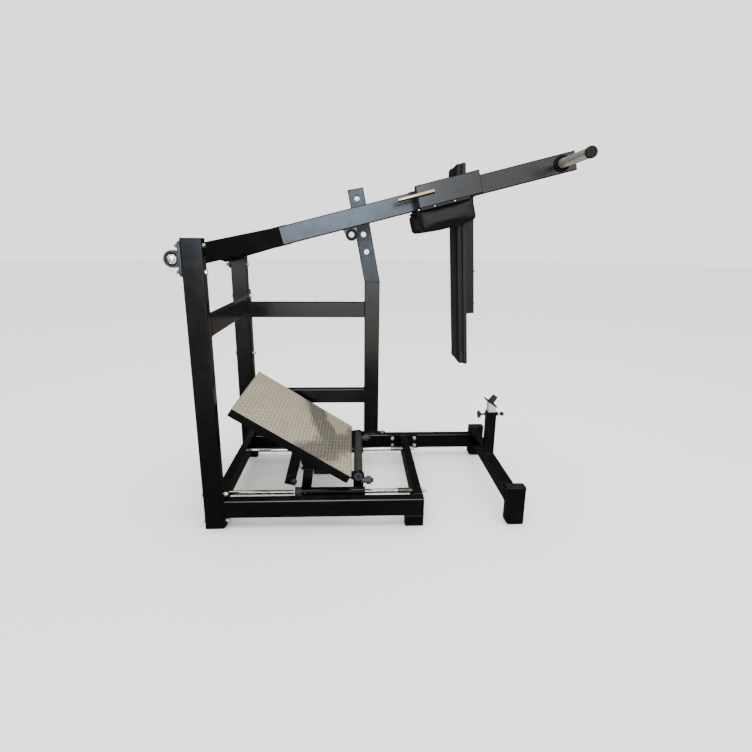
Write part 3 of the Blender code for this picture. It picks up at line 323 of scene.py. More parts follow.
def spread(material, value, low, high, to_low, to_high):
    """Map a value from one range to another, held at the ends."""
    made = material.node_tree.nodes.new("ShaderNodeMapRange")
    made.clamp = True
    made.inputs["From Min"].default_value = low
    made.inputs["From Max"].default_value = high
    made.inputs["To Min"].default_value = to_low
    made.inputs["To Max"].default_value = to_high
    wire(material, value, made.inputs["Value"])
    return made.outputs["Result"]


def combine(material, operation, first, second):
    """Arithmetic on two values; either may be a plain number."""
    made = material.node_tree.nodes.new("ShaderNodeMath")
    made.operation = operation
    for socket, value in zip(made.inputs, (first, second)):
        if isinstance(value, (int, float)):
            socket.default_value = value
        else:
            wire(material, value, socket)
    return made.outputs["Value"]


def tint(material, factor, first, second):
    """Mix two colours by a factor; either colour may be a socket."""
    made = material.node_tree.nodes.new("ShaderNodeMix")
    made.data_type = "RGBA"
    wire(material, factor, made.inputs["Factor"])
    for label, colour in (("A", first), ("B", second)):
        socket = [item for item in made.inputs if item.name == label and item.type == "RGBA"][0]
        if isinstance(colour, bpy.types.NodeSocket):
            wire(material, colour, socket)
        else:
            socket.default_value = (*colour, 1.0)
    return [item for item in made.outputs if item.type == "RGBA"][0]


def times(material, first, second):
    """One value times another."""
    return combine(material, "MULTIPLY", first, second)


def plus(material, first, second):
    """The sum of two values."""
    return combine(material, "ADD", first, second)


def patches(material, space, low, high, *pattern):
    """A noise pattern, 0 up to its low value and 1 from its high value."""
    return spread(material, noise(material, space, *pattern), low, high, 0.0, 1.0)


def colour_by(material, shader, factor, first, second):
    """Colour the shader by a mix of two colours."""
    wire(material, tint(material, factor, first, second), shader.inputs["Base Color"])


def gloss_by(material, shader, value, *ranges):
    """Set the shader's roughness by a value, mapped from one range to another."""
    wire(material, spread(material, value, *ranges), shader.inputs["Roughness"])


def emboss(material, shader, height, distance, strength=1.0, edge=0.0):
    """Raise the surface by a pattern; edge rounds the sharp edges of the solid below it."""
    bump = material.node_tree.nodes.new("ShaderNodeBump")
    bump.inputs["Strength"].default_value = strength
    bump.inputs["Distance"].default_value = distance
    wire(material, height, bump.inputs["Height"])
    if edge:
        bevel = material.node_tree.nodes.new("ShaderNodeBevel")
        bevel.samples = 4
        bevel.inputs["Radius"].default_value = edge
        wire(material, bevel.outputs["Normal"], bump.inputs["Normal"])
    wire(material, bump.outputs["Normal"], shader.inputs["Normal"])


def orange_peel(material, shader, space):
    """The slight ripple of a powder coat."""
    emboss(material, shader, noise(material, space, 520.0, 1.5), 0.00022, 0.30, 0.0013)


def edge_mask(material, radius, low=0.90, high=0.995):
    """Near 1 along the outer edges of a solid, and 0 on its flats."""
    bevel = material.node_tree.nodes.new("ShaderNodeBevel")
    bevel.samples = 4
    bevel.inputs["Radius"].default_value = radius
    geometry = material.node_tree.nodes.new("ShaderNodeNewGeometry")
    dot = material.node_tree.nodes.new("ShaderNodeVectorMath")
    dot.operation = "DOT_PRODUCT"
    wire(material, bevel.outputs["Normal"], dot.inputs[0])
    wire(material, geometry.outputs["Normal"], dot.inputs[1])
    return spread(material, dot.outputs["Value"], low, high, 1.0, 0.0)


def scaled(colour, factor):
    """A colour made lighter or darker."""
    return tuple(min(1.0, channel * factor) for channel in colour)


def make_powder_coat(settings):
    """Satin black powder coat: orange peel, settled dust and edges rubbed thin."""
    colour = settings.powder
    material, shader, space = start_finish("powder_coat_finish", colour, 0.0, 0.30)
    dust = patches(material, space, 0.48, 0.78, 4.5, 6.0, 0.62)
    dusty = tint(material, dust, colour, (0.0044, 0.0042, 0.0038))
    rubbed = edge_mask(material, 0.0012)
    patchy = spread(material, noise(material, space, 38.0, 4.0), 0.38, 0.66, 0.15, 0.9)
    worn = times(material, rubbed, patchy)
    colour_by(material, shader, worn, dusty, (0.017, 0.0165, 0.0155))
    cloud = noise(material, space, 22.0, 5.0, 0.6)
    gloss_by(material, shader, cloud, 0.30, 0.72, 0.17, 0.27)
    orange_peel(material, shader, space)
    shader.inputs["Specular IOR Level"].default_value = 0.30
    return material


def make_matt_black(settings, name, roughness, shine):
    """Powder coat that was rubbed dull, as on the yoke legs and the post's head."""
    colour = scaled(settings.powder, 0.62)
    material, shader, space = start_finish(name, colour, 0.0, roughness)
    dust = patches(material, space, 0.50, 0.80, 7.0, 5.0, 0.6)
    colour_by(material, shader, dust, colour, (0.0050, 0.0047, 0.0040))
    cloud = noise(material, space, 30.0, 4.0)
    gloss_by(material, shader, cloud, 0.3, 0.7, roughness - 0.04, roughness + 0.07)
    orange_peel(material, shader, space)
    shader.inputs["Specular IOR Level"].default_value = shine
    return material


def make_grey_coat(settings):
    """Thin grey coat of the hinge tube, brownish where grease has settled."""
    colour = (0.034, 0.032, 0.028)
    material, shader, space = start_finish("grey_coat_finish", colour, 0.0, 0.44)
    grease = patches(material, space, 0.40, 0.70, 14.0, 5.0, 0.6)
    colour_by(material, shader, grease, colour, (0.022, 0.019, 0.014))
    gloss_by(material, shader, grease, 0.0, 1.0, 0.48, 0.34)
    orange_peel(material, shader, space)
    shader.inputs["Specular IOR Level"].default_value = 0.30
    return material


def make_bright_steel(settings):
    """Dull bright plating of the inner stop tube, yellowish in streaks along it."""
    colour = (0.74, 0.74, 0.68)
    material, shader, space = start_finish("bright_steel_finish", colour, 0.55, 0.42)
    streak = noise(material, object_space(material, (8.0, 8.0, 1.0)), 14.0, 4.0, 0.6)
    stain = spread(material, streak, 0.42, 0.72, 0.0, 1.0)
    colour_by(material, shader, stain, colour, (0.56, 0.55, 0.46))
    gloss_by(material, shader, stain, 0.0, 1.0, 0.36, 0.54)
    emboss(material, shader, noise(material, space, 900.0, 2.0), 0.00006, 0.4, 0.0012)
    return material


def make_chrome(settings):
    """Hard chrome over ground steel: faint rings from grinding and a few dull handling marks."""
    colour = settings.chrome
    material, shader, space = start_finish("chrome_finish", colour, 1.0, 0.12)
    marks = patches(material, space, 0.45, 0.75, 26.0, 5.0, 0.6)
    colour_by(material, shader, marks, colour, scaled(colour, 0.84))
    gloss_by(material, shader, marks, 0.0, 1.0, 0.14, 0.28)
    rings = noise(material, object_space(material, (1.0, 1.0, 0.15)), 900.0, 1.0)
    emboss(material, shader, rings, 0.00004, 0.3, 0.0012)
    return material


def make_sleeve_steel(settings):
    """Satin plating of the horns, rubbed by the plates that slide over it."""
    colour = (0.70, 0.66, 0.61)
    material, shader, space = start_finish("sleeve_finish", colour, 0.84, 0.24)
    rubs = noise(material, object_space(material, (1.0, 0.15, 1.0)), 22.0, 3.0, 0.5)
    dull = spread(material, rubs, 0.40, 0.70, 0.0, 1.0)
    colour_by(material, shader, dull, colour, (0.61, 0.57, 0.51))
    gloss_by(material, shader, dull, 0.0, 1.0, 0.20, 0.28)
    emboss(material, shader, noise(material, space, 900.0, 2.0), 0.00005, 0.3, 0.0012)
    return material


def make_zinc(settings):
    """Bright zinc plating with its fine crystals and slightly clouded shine."""
    colour = settings.zinc
    material, shader, space = start_finish("zinc_finish", colour, 1.0, 0.28)
    cloud = patches(material, space, 0.35, 0.7, 160.0, 4.0)
    colour_by(material, shader, cloud, colour, scaled(colour, 0.80))
    gloss_by(material, shader, cloud, 0.0, 1.0, 0.22, 0.40)
    emboss(material, shader, noise(material, space, 1400.0, 2.0), 0.00006, 0.4)
    return material


def make_yellow_zinc(settings):
    """Passivated zinc, gold with rosy and greenish clouds."""
    colour = settings.yellow_zinc
    material, shader, space = start_finish("yellow_zinc_finish", colour, 1.0, 0.26)
    cloud = noise(material, space, 11.0, 3.0, 0.5, 0.6)
    rosy = spread(material, cloud, 0.52, 0.70, 0.0, 0.75)
    green = spread(material, cloud, 0.46, 0.30, 0.0, 0.75)
    first = tint(material, rosy, colour, (0.50, 0.34, 0.27))
    colour_by(material, shader, green, first, (0.40, 0.43, 0.25))
    scuffs = noise(material, space, 240.0, 3.0)
    gloss_by(material, shader, scuffs, 0.35, 0.7, 0.15, 0.30)
    emboss(material, shader, scuffs, 0.00005, 0.4)
    return material


def make_cast_iron(settings):
    """Painted sand casting: a pebbled skin, darker in its pits."""
    colour = settings.iron
    material, shader, space = start_finish("cast_iron_finish", colour, 0.25, 0.46)
    sand = noise(material, space, 620.0, 4.0, 0.65)
    pits = spread(material, sand, 0.32, 0.58, 0.55, 0.0)
    colour_by(material, shader, pits, colour, scaled(colour, 0.42))
    gloss_by(material, shader, sand, 0.3, 0.7, 0.56, 0.38)
    emboss(material, shader, sand, 0.0005, 0.7, 0.0012)
    shader.inputs["Specular IOR Level"].default_value = 0.30
    return material


def distance_from(material, space, direction, origin):
    """How far a place lies from an origin along a direction."""
    product = material.node_tree.nodes.new("ShaderNodeVectorMath")
    product.operation = "DOT_PRODUCT"
    product.inputs[1].default_value = direction
    wire(material, space, product.inputs[0])
    return combine(material, "SUBTRACT", product.outputs["Value"], origin.dot(direction))


def make_tread(settings, name, shade, polish, painted_shadow_factor):
    """Bare tread steel: mill sheen, tan and grey scuffing, and two soft diagonal bands of painted shadow
    across the plate.
    """
    # The shade factor makes a darker copy of the finish for the sheet, partly painted shade between the bars,
    # and a lighter one for the bar crowns, partly worn bright and partly painted highlight.
    colour = scaled(settings.tread, shade)
    material, shader, space = start_finish(name, colour, 0.30, polish)
    cloudy = patches(material, space, 0.36, 0.68, 9.0, 5.0, 0.6)
    base = tint(material, cloudy, colour, (colour[0] * 0.90, colour[1] * 0.84, colour[2] * 0.72))
    mottled = patches(material, space, 0.36, 0.66, 46.0, 6.0, 0.66)
    base = tint(material, times(material, mottled, 0.55), base, scaled(colour, 0.56))
    fine = spread(material, noise(material, space, 300.0, 4.0, 0.7), 0.44, 0.66, 0.0, 0.6)
    base = tint(material, fine, base, scaled(colour, 0.42))
    # Painted shadow: two soft diagonal bands across the plate, their edges wavering a little, darken it
    # towards the shadow colour.
    waver = spread(material, noise(material, space, 8.0, 4.0, 0.6), 0.3, 0.7, -0.035, 0.035)
    down = distance_from(material, space, PLATE_ALONG + ACROSS * 0.42, HINGE)
    down = plus(material, plus(material, down, waver), 0.226)
    first = spread(material, combine(material, "ABSOLUTE", down, 0.0), 0.066, 0.106, 1.0, 0.0)
    over = distance_from(material, space, PLATE_ALONG * 0.845 - ACROSS * 0.535, HINGE)
    over = plus(material, plus(material, over, waver), 0.095)
    second = spread(material, combine(material, "ABSOLUTE", over, 0.0), 0.064, 0.106, 0.95, 0.0)
    first = times(material, first, spread(material, over, 0.03, 0.09, 1.0, 0.0))
    painted_shadow_bands = combine(material, "MAXIMUM", first, second)
    painted_shadow_mask = times(material, painted_shadow_bands, spread(material, mottled, 0.0, 1.0, 1.0, 0.66))
    # Colour inside the painted shadow bands.
    dull = (colour[0] * painted_shadow_factor, colour[1] * painted_shadow_factor * 1.02, colour[2] * painted_shadow_factor * 1.08)
    colour_by(material, shader, painted_shadow_mask, base, dull)
    gloss_by(material, shader, fine, 0.0, 0.6, polish - 0.06, polish + 0.12)
    emboss(material, shader, noise(material, space, 700.0, 3.0), 0.00012, 0.5, 0.0008)
    return material


def make_spring_steel(settings):
    """Oil-blackened spring wire."""
    colour = (0.012, 0.011, 0.010)
    material, shader, space = start_finish("spring_finish", colour, 0.3, 0.42)
    oil = patches(material, space, 0.4, 0.7, 90.0, 4.0)
    colour_by(material, shader, oil, colour, (0.024, 0.020, 0.016))
    gloss_by(material, shader, oil, 0.0, 1.0, 0.28, 0.50)
    emboss(material, shader, noise(material, space, 1500.0, 2.0), 0.00005, 0.5)
    return material


def make_vinyl(settings):
    """Soft upholstery vinyl with a pressed leather grain."""
    colour = settings.vinyl
    material, shader, space = start_finish("vinyl_finish", colour, 0.0, 0.50)
    grain = material.node_tree.nodes.new("ShaderNodeTexVoronoi")
    grain.feature = "DISTANCE_TO_EDGE"
    grain.inputs["Scale"].default_value = 620.0
    grain.inputs["Randomness"].default_value = 1.0
    wire(material, space, grain.inputs["Vector"])
    cells = spread(material, grain.outputs["Distance"], 0.0, 0.22, 0.0, 1.0)
    folds = spread(material, noise(material, space, 130.0, 4.0, 0.6), 0.3, 0.7, 0.0, 0.6)
    height = plus(material, cells, folds)
    shade = patches(material, space, 0.35, 0.7, 8.0, 4.0)
    base = tint(material, shade, colour, scaled(colour, 1.35))
    crease = spread(material, cells, 0.0, 0.6, 0.55, 0.0)
    colour_by(material, shader, crease, base, scaled(colour, 0.5))
    gloss_by(material, shader, height, 0.2, 1.4, 0.60, 0.44)
    emboss(material, shader, height, 0.00016, 0.55)
    shader.inputs["Specular IOR Level"].default_value = 0.20
    shader.inputs["Sheen Weight"].default_value = 0.01
    shader.inputs["Sheen Roughness"].default_value = 0.45
    return material


def make_thread(settings):
    """Bonded black thread."""
    colour = scaled(settings.vinyl, 1.5)
    material, shader, space = start_finish("thread_finish", colour, 0.0, 0.62)
    twist = noise(material, space, 1800.0, 2.0)
    colour_by(material, shader, twist, colour, scaled(colour, 0.6))
    gloss_by(material, shader, twist, 0.3, 0.7, 0.50, 0.70)
    emboss(material, shader, twist, 0.0001, 0.5)
    return material


def make_plastic(settings):
    """Moulded black plastic with a fine spark-eroded texture."""
    colour = (0.0065, 0.0065, 0.0070)
    material, shader, space = start_finish("plastic_finish", colour, 0.0, 0.42)
    texture = noise(material, space, 1100.0, 2.0, 0.6)
    rub = patches(material, space, 0.5, 0.8, 40.0, 4.0)
    colour_by(material, shader, rub, colour, (0.014, 0.014, 0.014))
    gloss_by(material, shader, texture, 0.3, 0.7, 0.36, 0.50)
    emboss(material, shader, texture, 0.00010, 0.45, 0.0010)
    shader.inputs["Specular IOR Level"].default_value = 0.28
    return material


def make_board(settings):
    """Black-stained plywood back of a pad, its veneer showing faintly."""
    colour = (0.0100, 0.0095, 0.0090)
    material, shader = start_material("board_finish", colour, 0.0, 0.60)
    veneer = noise(material, object_space(material, (9.0, 9.0, 1.0)), 30.0, 4.0, 0.6, 0.4)
    streak = spread(material, veneer, 0.4, 0.75, 0.0, 1.0)
    colour_by(material, shader, streak, colour, (0.020, 0.018, 0.015))
    gloss_by(material, shader, veneer, 0.3, 0.7, 0.50, 0.70)
    emboss(material, shader, veneer, 0.0003, 0.4)
    shader.inputs["Specular IOR Level"].default_value = 0.20
    return material


def make_rubber(settings, name, colour):
    """Moulded rubber with a chalky bloom."""
    material, shader, space = start_finish(name, colour, 0.0, 0.75)
    bloom = patches(material, space, 0.45, 0.75, 60.0, 5.0, 0.6)
    colour_by(material, shader, bloom, colour, scaled(colour, 1.7))
    gloss_by(material, shader, bloom, 0.0, 1.0, 0.66, 0.84)
    emboss(material, shader, noise(material, space, 900.0, 3.0), 0.00016, 0.5, 0.0010)
    shader.inputs["Specular IOR Level"].default_value = 0.14
    return material


def make_nylon(settings):
    """Off-white nylon, slightly green with age."""
    colour = (0.72, 0.76, 0.66)
    material, shader, space = start_finish("nylon_finish", colour, 0.0, 0.42)
    stain = patches(material, space, 0.45, 0.8, 120.0, 4.0)
    colour_by(material, shader, stain, colour, (0.50, 0.52, 0.42))
    gloss_by(material, shader, stain, 0.0, 1.0, 0.36, 0.55)
    emboss(material, shader, noise(material, space, 900.0, 2.0), 0.00008, 0.4)
    shader.inputs["Subsurface Weight"].default_value = 0.05
    return material


MAKERS = {
    "powder_coat": make_powder_coat,
    "matt_black": lambda settings: make_matt_black(settings, "matt_black_finish", 0.54, 0.06),
    "satin_black": lambda settings: make_matt_black(settings, "satin_black_finish", 0.42, 0.17),
    "dull_black": lambda settings: make_matt_black(settings, "dull_black_finish", 0.36, 0.34),
    "chrome": make_chrome,
    "sleeve_steel": make_sleeve_steel,
    "zinc": make_zinc,
    "yellow_zinc": make_yellow_zinc,
    "cast_iron": make_cast_iron,
    # The sheet's copy is darker, partly painted shade between the bars; the crowns' copy is lighter, partly
    # worn bright and partly painted highlight. The last number sets the colour of the painted shadow bands.
    "tread": lambda settings: make_tread(settings, "tread_finish", 0.83, 0.50, 0.15),
    "tread_crown": lambda settings: make_tread(settings, "tread_crown_finish", 1.38, 0.38, 0.25),
    "bright_steel": make_bright_steel,
    "grey_coat": make_grey_coat,
    "spring_steel": make_spring_steel,
    "vinyl": make_vinyl,
    "thread": make_thread,
    "plastic": make_plastic,
    "board": make_board,
    "rubber": lambda settings: make_rubber(settings, "rubber_finish", (0.0090, 0.0090, 0.0090)),
    "bumper": lambda settings: make_rubber(settings, "bumper_finish", (0.017, 0.0165, 0.018)),
    "nylon": make_nylon,
}

made_finishes = {}


def finish(context, name):
    """The material of one finish, made on first use."""
    if name not in made_finishes:
        made_finishes[name] = MAKERS[name](context.scene.squat_finishes)
    return made_finishes[name]


def add_piece(context, name, bm, finish_name, body, smooth=True, crease=35):
    """Link a bmesh as a named piece with its finish, riding on a body."""
    bmesh.ops.recalc_face_normals(bm, faces=bm.faces)
    mesh = to_mesh(bm, name)
    mesh.materials.append(finish(context, finish_name))
    if smooth:
        mesh.shade_smooth()
        mesh.set_sharp_from_angle(angle=math.radians(crease))
    item = bpy.data.objects.new(name, mesh)
    context.scene.collection.objects.link(item)
    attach(item, body)
    return item


def facing(location, direction, turn=0.0):
    """Matrix that puts local Z along direction at location, turned about it."""
    quaternion = UPWARD.rotation_difference(Vector(direction).normalized())
    if Vector(direction).normalized().z < -0.9999:
        rotation = Matrix.Rotation(math.pi, 4, "X")
    else:
        rotation = quaternion.to_matrix().to_4x4()
    return Matrix.Translation(location) @ rotation @ Matrix.Rotation(turn, 4, "Z")


def add_ring(bm, points):
    """Add a ring of vertices."""
    return [bm.verts.new(point) for point in points]


def bridge(bm, first, second):
    """Join two rings of equal length."""
    count = len(first)
    for i in range(count):
        j = (i + 1) % count
        bm.faces.new((first[i], first[j], second[j], second[i]))


def skin(bm, rings):
    """Join rings in their order and close both ends."""
    for first, second in zip(rings, rings[1:]):
        bridge(bm, first, second)
    bm.faces.new(list(reversed(rings[0])))
    bm.faces.new(rings[-1])


def polar(radius, angle, height=0.0):
    """A point at an angle about local Z."""
    return Vector((radius * math.cos(angle), radius * math.sin(angle), height))


def axes_at(origin, first, second, third):
    """Matrix that lays local X, Y and Z along three directions at a place."""
    return Matrix.Translation(origin) @ Matrix((first, second, third)).transposed().to_4x4()


def to_mesh(bm, name):
    """Turn a bmesh into a mesh and free it."""
    mesh = bpy.data.meshes.new(name)
    bm.to_mesh(mesh)
    bm.free()
    return mesh


def turned(bm, profile, matrix, count=40, closed=False, flute=None):
    """Turn a profile of (radius, height) points about local Z; flute cuts into it."""
    rings = []
    for radius, height in profile:
        if radius == 0.0:
            rings.append([bm.verts.new(matrix @ Vector((0.0, 0.0, height)))])
            continue
        ring = []
        for i in range(count):
            angle = 2 * math.pi * i / count
            reach = radius - flute(radius, angle) if flute else radius
            ring.append(bm.verts.new(matrix @ polar(reach, angle, height)))
        rings.append(ring)
    pairs = list(zip(rings, rings[1:]))
    if closed:
        pairs.append((rings[-1], rings[0]))
    for first, second in pairs:
        if len(first) == 1 and len(second) == 1:
            continue
        if len(first) == 1 or len(second) == 1:
            tip, rim = (first[0], second) if len(first) == 1 else (second[0], first)
            for i in range(count):
                bm.faces.new((tip, rim[i], rim[(i + 1) % count]))
        else:
            bridge(bm, first, second)


def rounded_outline(width, height, radius, steps=4):
    """Outline of a rectangle with round corners, counter-clockwise."""
    points = []
    for quarter in range(4):
        sign_x = 1 if quarter in (0, 3) else -1
        sign_y = 1 if quarter in (0, 1) else -1
        centre_x = sign_x * (width / 2 - radius)
        centre_y = sign_y * (height / 2 - radius)
        for step in range(steps + 1):
            angle = (quarter + step / steps) * UP
            x = centre_x + radius * math.cos(angle)
            y = centre_y + radius * math.sin(angle)
            points.append((x, y))
    return points


def slab(bm, outline, length, matrix, edge=0.0):
    """Push an XY outline along local Z, with a small chamfer at both ends."""
    centre_x = sum(x for x, y in outline) / len(outline)
    centre_y = sum(y for x, y in outline) / len(outline)
    reach = max(math.hypot(x - centre_x, y - centre_y) for x, y in outline)
    levels = ((0.0, edge), (edge, 0.0), (length - edge, 0.0), (length, edge))
    if edge == 0.0:
        levels = ((0.0, 0.0), (length, 0.0))
    rings = []
    for height, inset in levels:
        factor = 1 - inset / reach
        ring = []
        for x, y in outline:
            moved_x = centre_x + (x - centre_x) * factor
            moved_y = centre_y + (y - centre_y) * factor
            ring.append(bm.verts.new(matrix @ Vector((moved_x, moved_y, height))))
        rings.append(ring)
    skin(bm, rings)


def hexagon(bm, matrix, across, height, start=0.0):
    """A hexagon head or nut with its turned chamfer."""
    corner = across / math.sqrt(3)
    hexagonal = (corner, corner * math.cos(math.pi / 6))
    round_top = (across / 2 * 0.97,) * 2
    levels = ((hexagonal, start), (hexagonal, start + height * 0.80), (round_top, start + height))
    rings = []
    for reaches, level in levels:
        points = [matrix @ polar(reaches[i % 2], math.pi * i / 6, level) for i in range(12)]
        rings.append(add_ring(bm, points))
    skin(bm, rings)


def washer(bm, matrix, radius, thickness, start=0.0, hole=0.0):
    """A flat washer with broken edges."""
    edge = thickness * 0.25
    profile = [
        (hole, start),
        (radius - edge, start),
        (radius, start + edge),
        (radius, start + thickness - edge),
        (radius - edge, start + thickness),
        (hole, start + thickness),
    ]
    turned(bm, profile, matrix, 32, closed=hole > 0)


def thread(bm, matrix, radius, length, start):
    """The end of a threaded bar: ridges on a round bar."""
    pitch = 0.0016
    profile = [(0.0, start)]
    count = max(2, int(length / pitch))
    for step in range(count):
        base = start + length * step / count
        profile.append((radius * 0.90, base))
        profile.append((radius, base + length / count * 0.5))
    profile.append((radius * 0.86, start + length))
    profile.append((0.0, start + length))
    turned(bm, profile, matrix, 20)


def bolt_head(bm, point, direction, settings, turn=0.0, scale=1.0):
    """A washer and a hexagon head standing on a face."""
    matrix = facing(point, direction, turn)
    thick = 0.0024 * scale
    washer(bm, matrix, settings.washer_radius * scale, thick)
    hexagon(bm, matrix, settings.across_flats * scale, 0.0078 * scale, thick)


def bolt_nut(bm, point, direction, settings, turn=0.0, scale=1.0, stub=0.006):
    """A washer, a nut and the end of the bolt standing out of it."""
    matrix = facing(point, direction, turn)
    thick = 0.0024 * scale
    nut = 0.0098 * scale
    washer(bm, matrix, settings.washer_radius * scale, thick)
    hexagon(bm, matrix, settings.across_flats * scale, nut, thick)
    thread(bm, matrix, 0.006 * scale, stub * scale, thick + nut - 0.0002)


def sweep(bm, points, radii, sides=8, loop=False):
    """Sweep a round section along points, its radius given point by point."""
    count = len(points)
    tangents = []
    for i in range(count):
        before = points[i - 1] if (i > 0 or loop) else points[i]
        after = points[(i + 1) % count] if (i < count - 1 or loop) else points[i]
        tangents.append((after - before).normalized())
    normal = tangents[0].orthogonal().normalized()
    rings = []
    for i in range(count):
        normal = (normal - tangents[i] * normal.dot(tangents[i])).normalized()
        side = tangents[i].cross(normal)
        ring = []
        for j in range(sides):
            angle = 2 * math.pi * j / sides
            offset = normal * math.cos(angle) + side * math.sin(angle)
            ring.append(bm.verts.new(points[i] + offset * radii[i]))
        rings.append(ring)
    if not loop:
        skin(bm, rings)
        return
    for first, second in zip(rings, rings[1:]):
        bridge(bm, first, second)
    shift = min(range(sides), key=lambda k: (rings[0][k].co - rings[-1][0].co).length)
    bridge(bm, rings[-1], rings[0][shift:] + rings[0][:shift])


def resample(points, pitch, loop=False):
    """Points spread evenly along a line of straight stretches."""
    line = list(points)
    if loop:
        line.append(points[0])
    lengths = [(b - a).length for a, b in zip(line, line[1:])]
    total = sum(lengths)
    count = max(2, int(round(total / pitch)))
    spaced = []
    stretch = 0
    passed = 0.0
    for step in range(count if loop else count + 1):
        target = total * step / count
        while stretch < len(lengths) - 1 and passed + lengths[stretch] < target:
            passed += lengths[stretch]
            stretch += 1
        part = (target - passed) / max(lengths[stretch], 1e-9)
        spaced.append(line[stretch].lerp(line[stretch + 1], min(1.0, part)))
    return spaced


def weld_line(bm, points, settings, loop=False, scale=1.0):
    """A rippled bead along a joint."""
    step = settings.bead_pitch / 3
    spaced = resample(points, step, loop)
    radii = []
    for i in range(len(spaced)):
        wave = 0.5 + 0.5 * math.cos(2 * math.pi * i / 3)
        radii.append(settings.bead_radius * scale * (0.80 + 0.22 * wave))
    sweep(bm, spaced, radii, 7, loop)


def weld_round_tube(bm, centre, first, second, width, height, settings, radius=0.005):
    """A bead round a rectangular tube where it meets a face."""
    outline = rounded_outline(width, height, radius, 3)
    points = [centre + first * x + second * y for x, y in outline]
    weld_line(bm, points, settings, loop=True)


def weld_circle(bm, centre, axis, radius, settings, scale=1.0):
    """A bead round a pipe where it meets a face."""
    matrix = facing(centre, axis)
    points = [matrix @ polar(radius, 2 * math.pi * i / 48) for i in range(48)]
    weld_line(bm, points, settings, loop=True, scale=scale)


# Which finish each CAD node takes; the rest are powder coated
NODE_FINISHES = {
    "near_yoke_leg": "matt_black",
    "far_yoke_leg": "matt_black",
    "back_support_tube": "satin_black",
    "near_guide_rod": "chrome",
    "far_guide_rod": "chrome",
    "pivot_shaft": "chrome",
    "near_weight_horn": "chrome",
    "far_weight_horn": "chrome",
    "stop_tube": "bright_steel",
    "hinge_cross_tube": "grey_coat",
    "post_head": "dull_black",
    "near_bearing_insert": "zinc",
    "far_bearing_insert": "zinc",
    "near_handle": "yellow_zinc",
    "far_handle": "yellow_zinc",
    "near_pillow_block": "cast_iron",
    "far_pillow_block": "cast_iron",
    "near_rod_spring": "spring_steel",
    "far_rod_spring": "spring_steel",
    "tread_plate": "tread",
    "near_shoulder_pad": "vinyl",
    "far_shoulder_pad": "vinyl",
    "back_pad": "vinyl",
    "back_pad_board": "board",
    "catch_roller": "rubber",
    "stop_bumper": "bumper",
    "star_knob": "plastic",
    "adjuster_knob": "plastic",
    "stop_pin": "plastic",
}


class SQUAT_OT_finish_steelwork(bpy.types.Operator):
    """Give every solid of the frame its own finish"""

    bl_idname = "squat.finish_steelwork"
    bl_label = "Finish Steelwork"

    def execute(self, context):
        """Put the finishes into the material slots of the frame's solids."""
        for name, item in frame["nodes"].items():
            material = finish(context, NODE_FINISHES.get(name, "powder_coat"))
            for index in range(len(item.material_slots)):
                item.material_slots[index].material = material
        return {"FINISHED"}


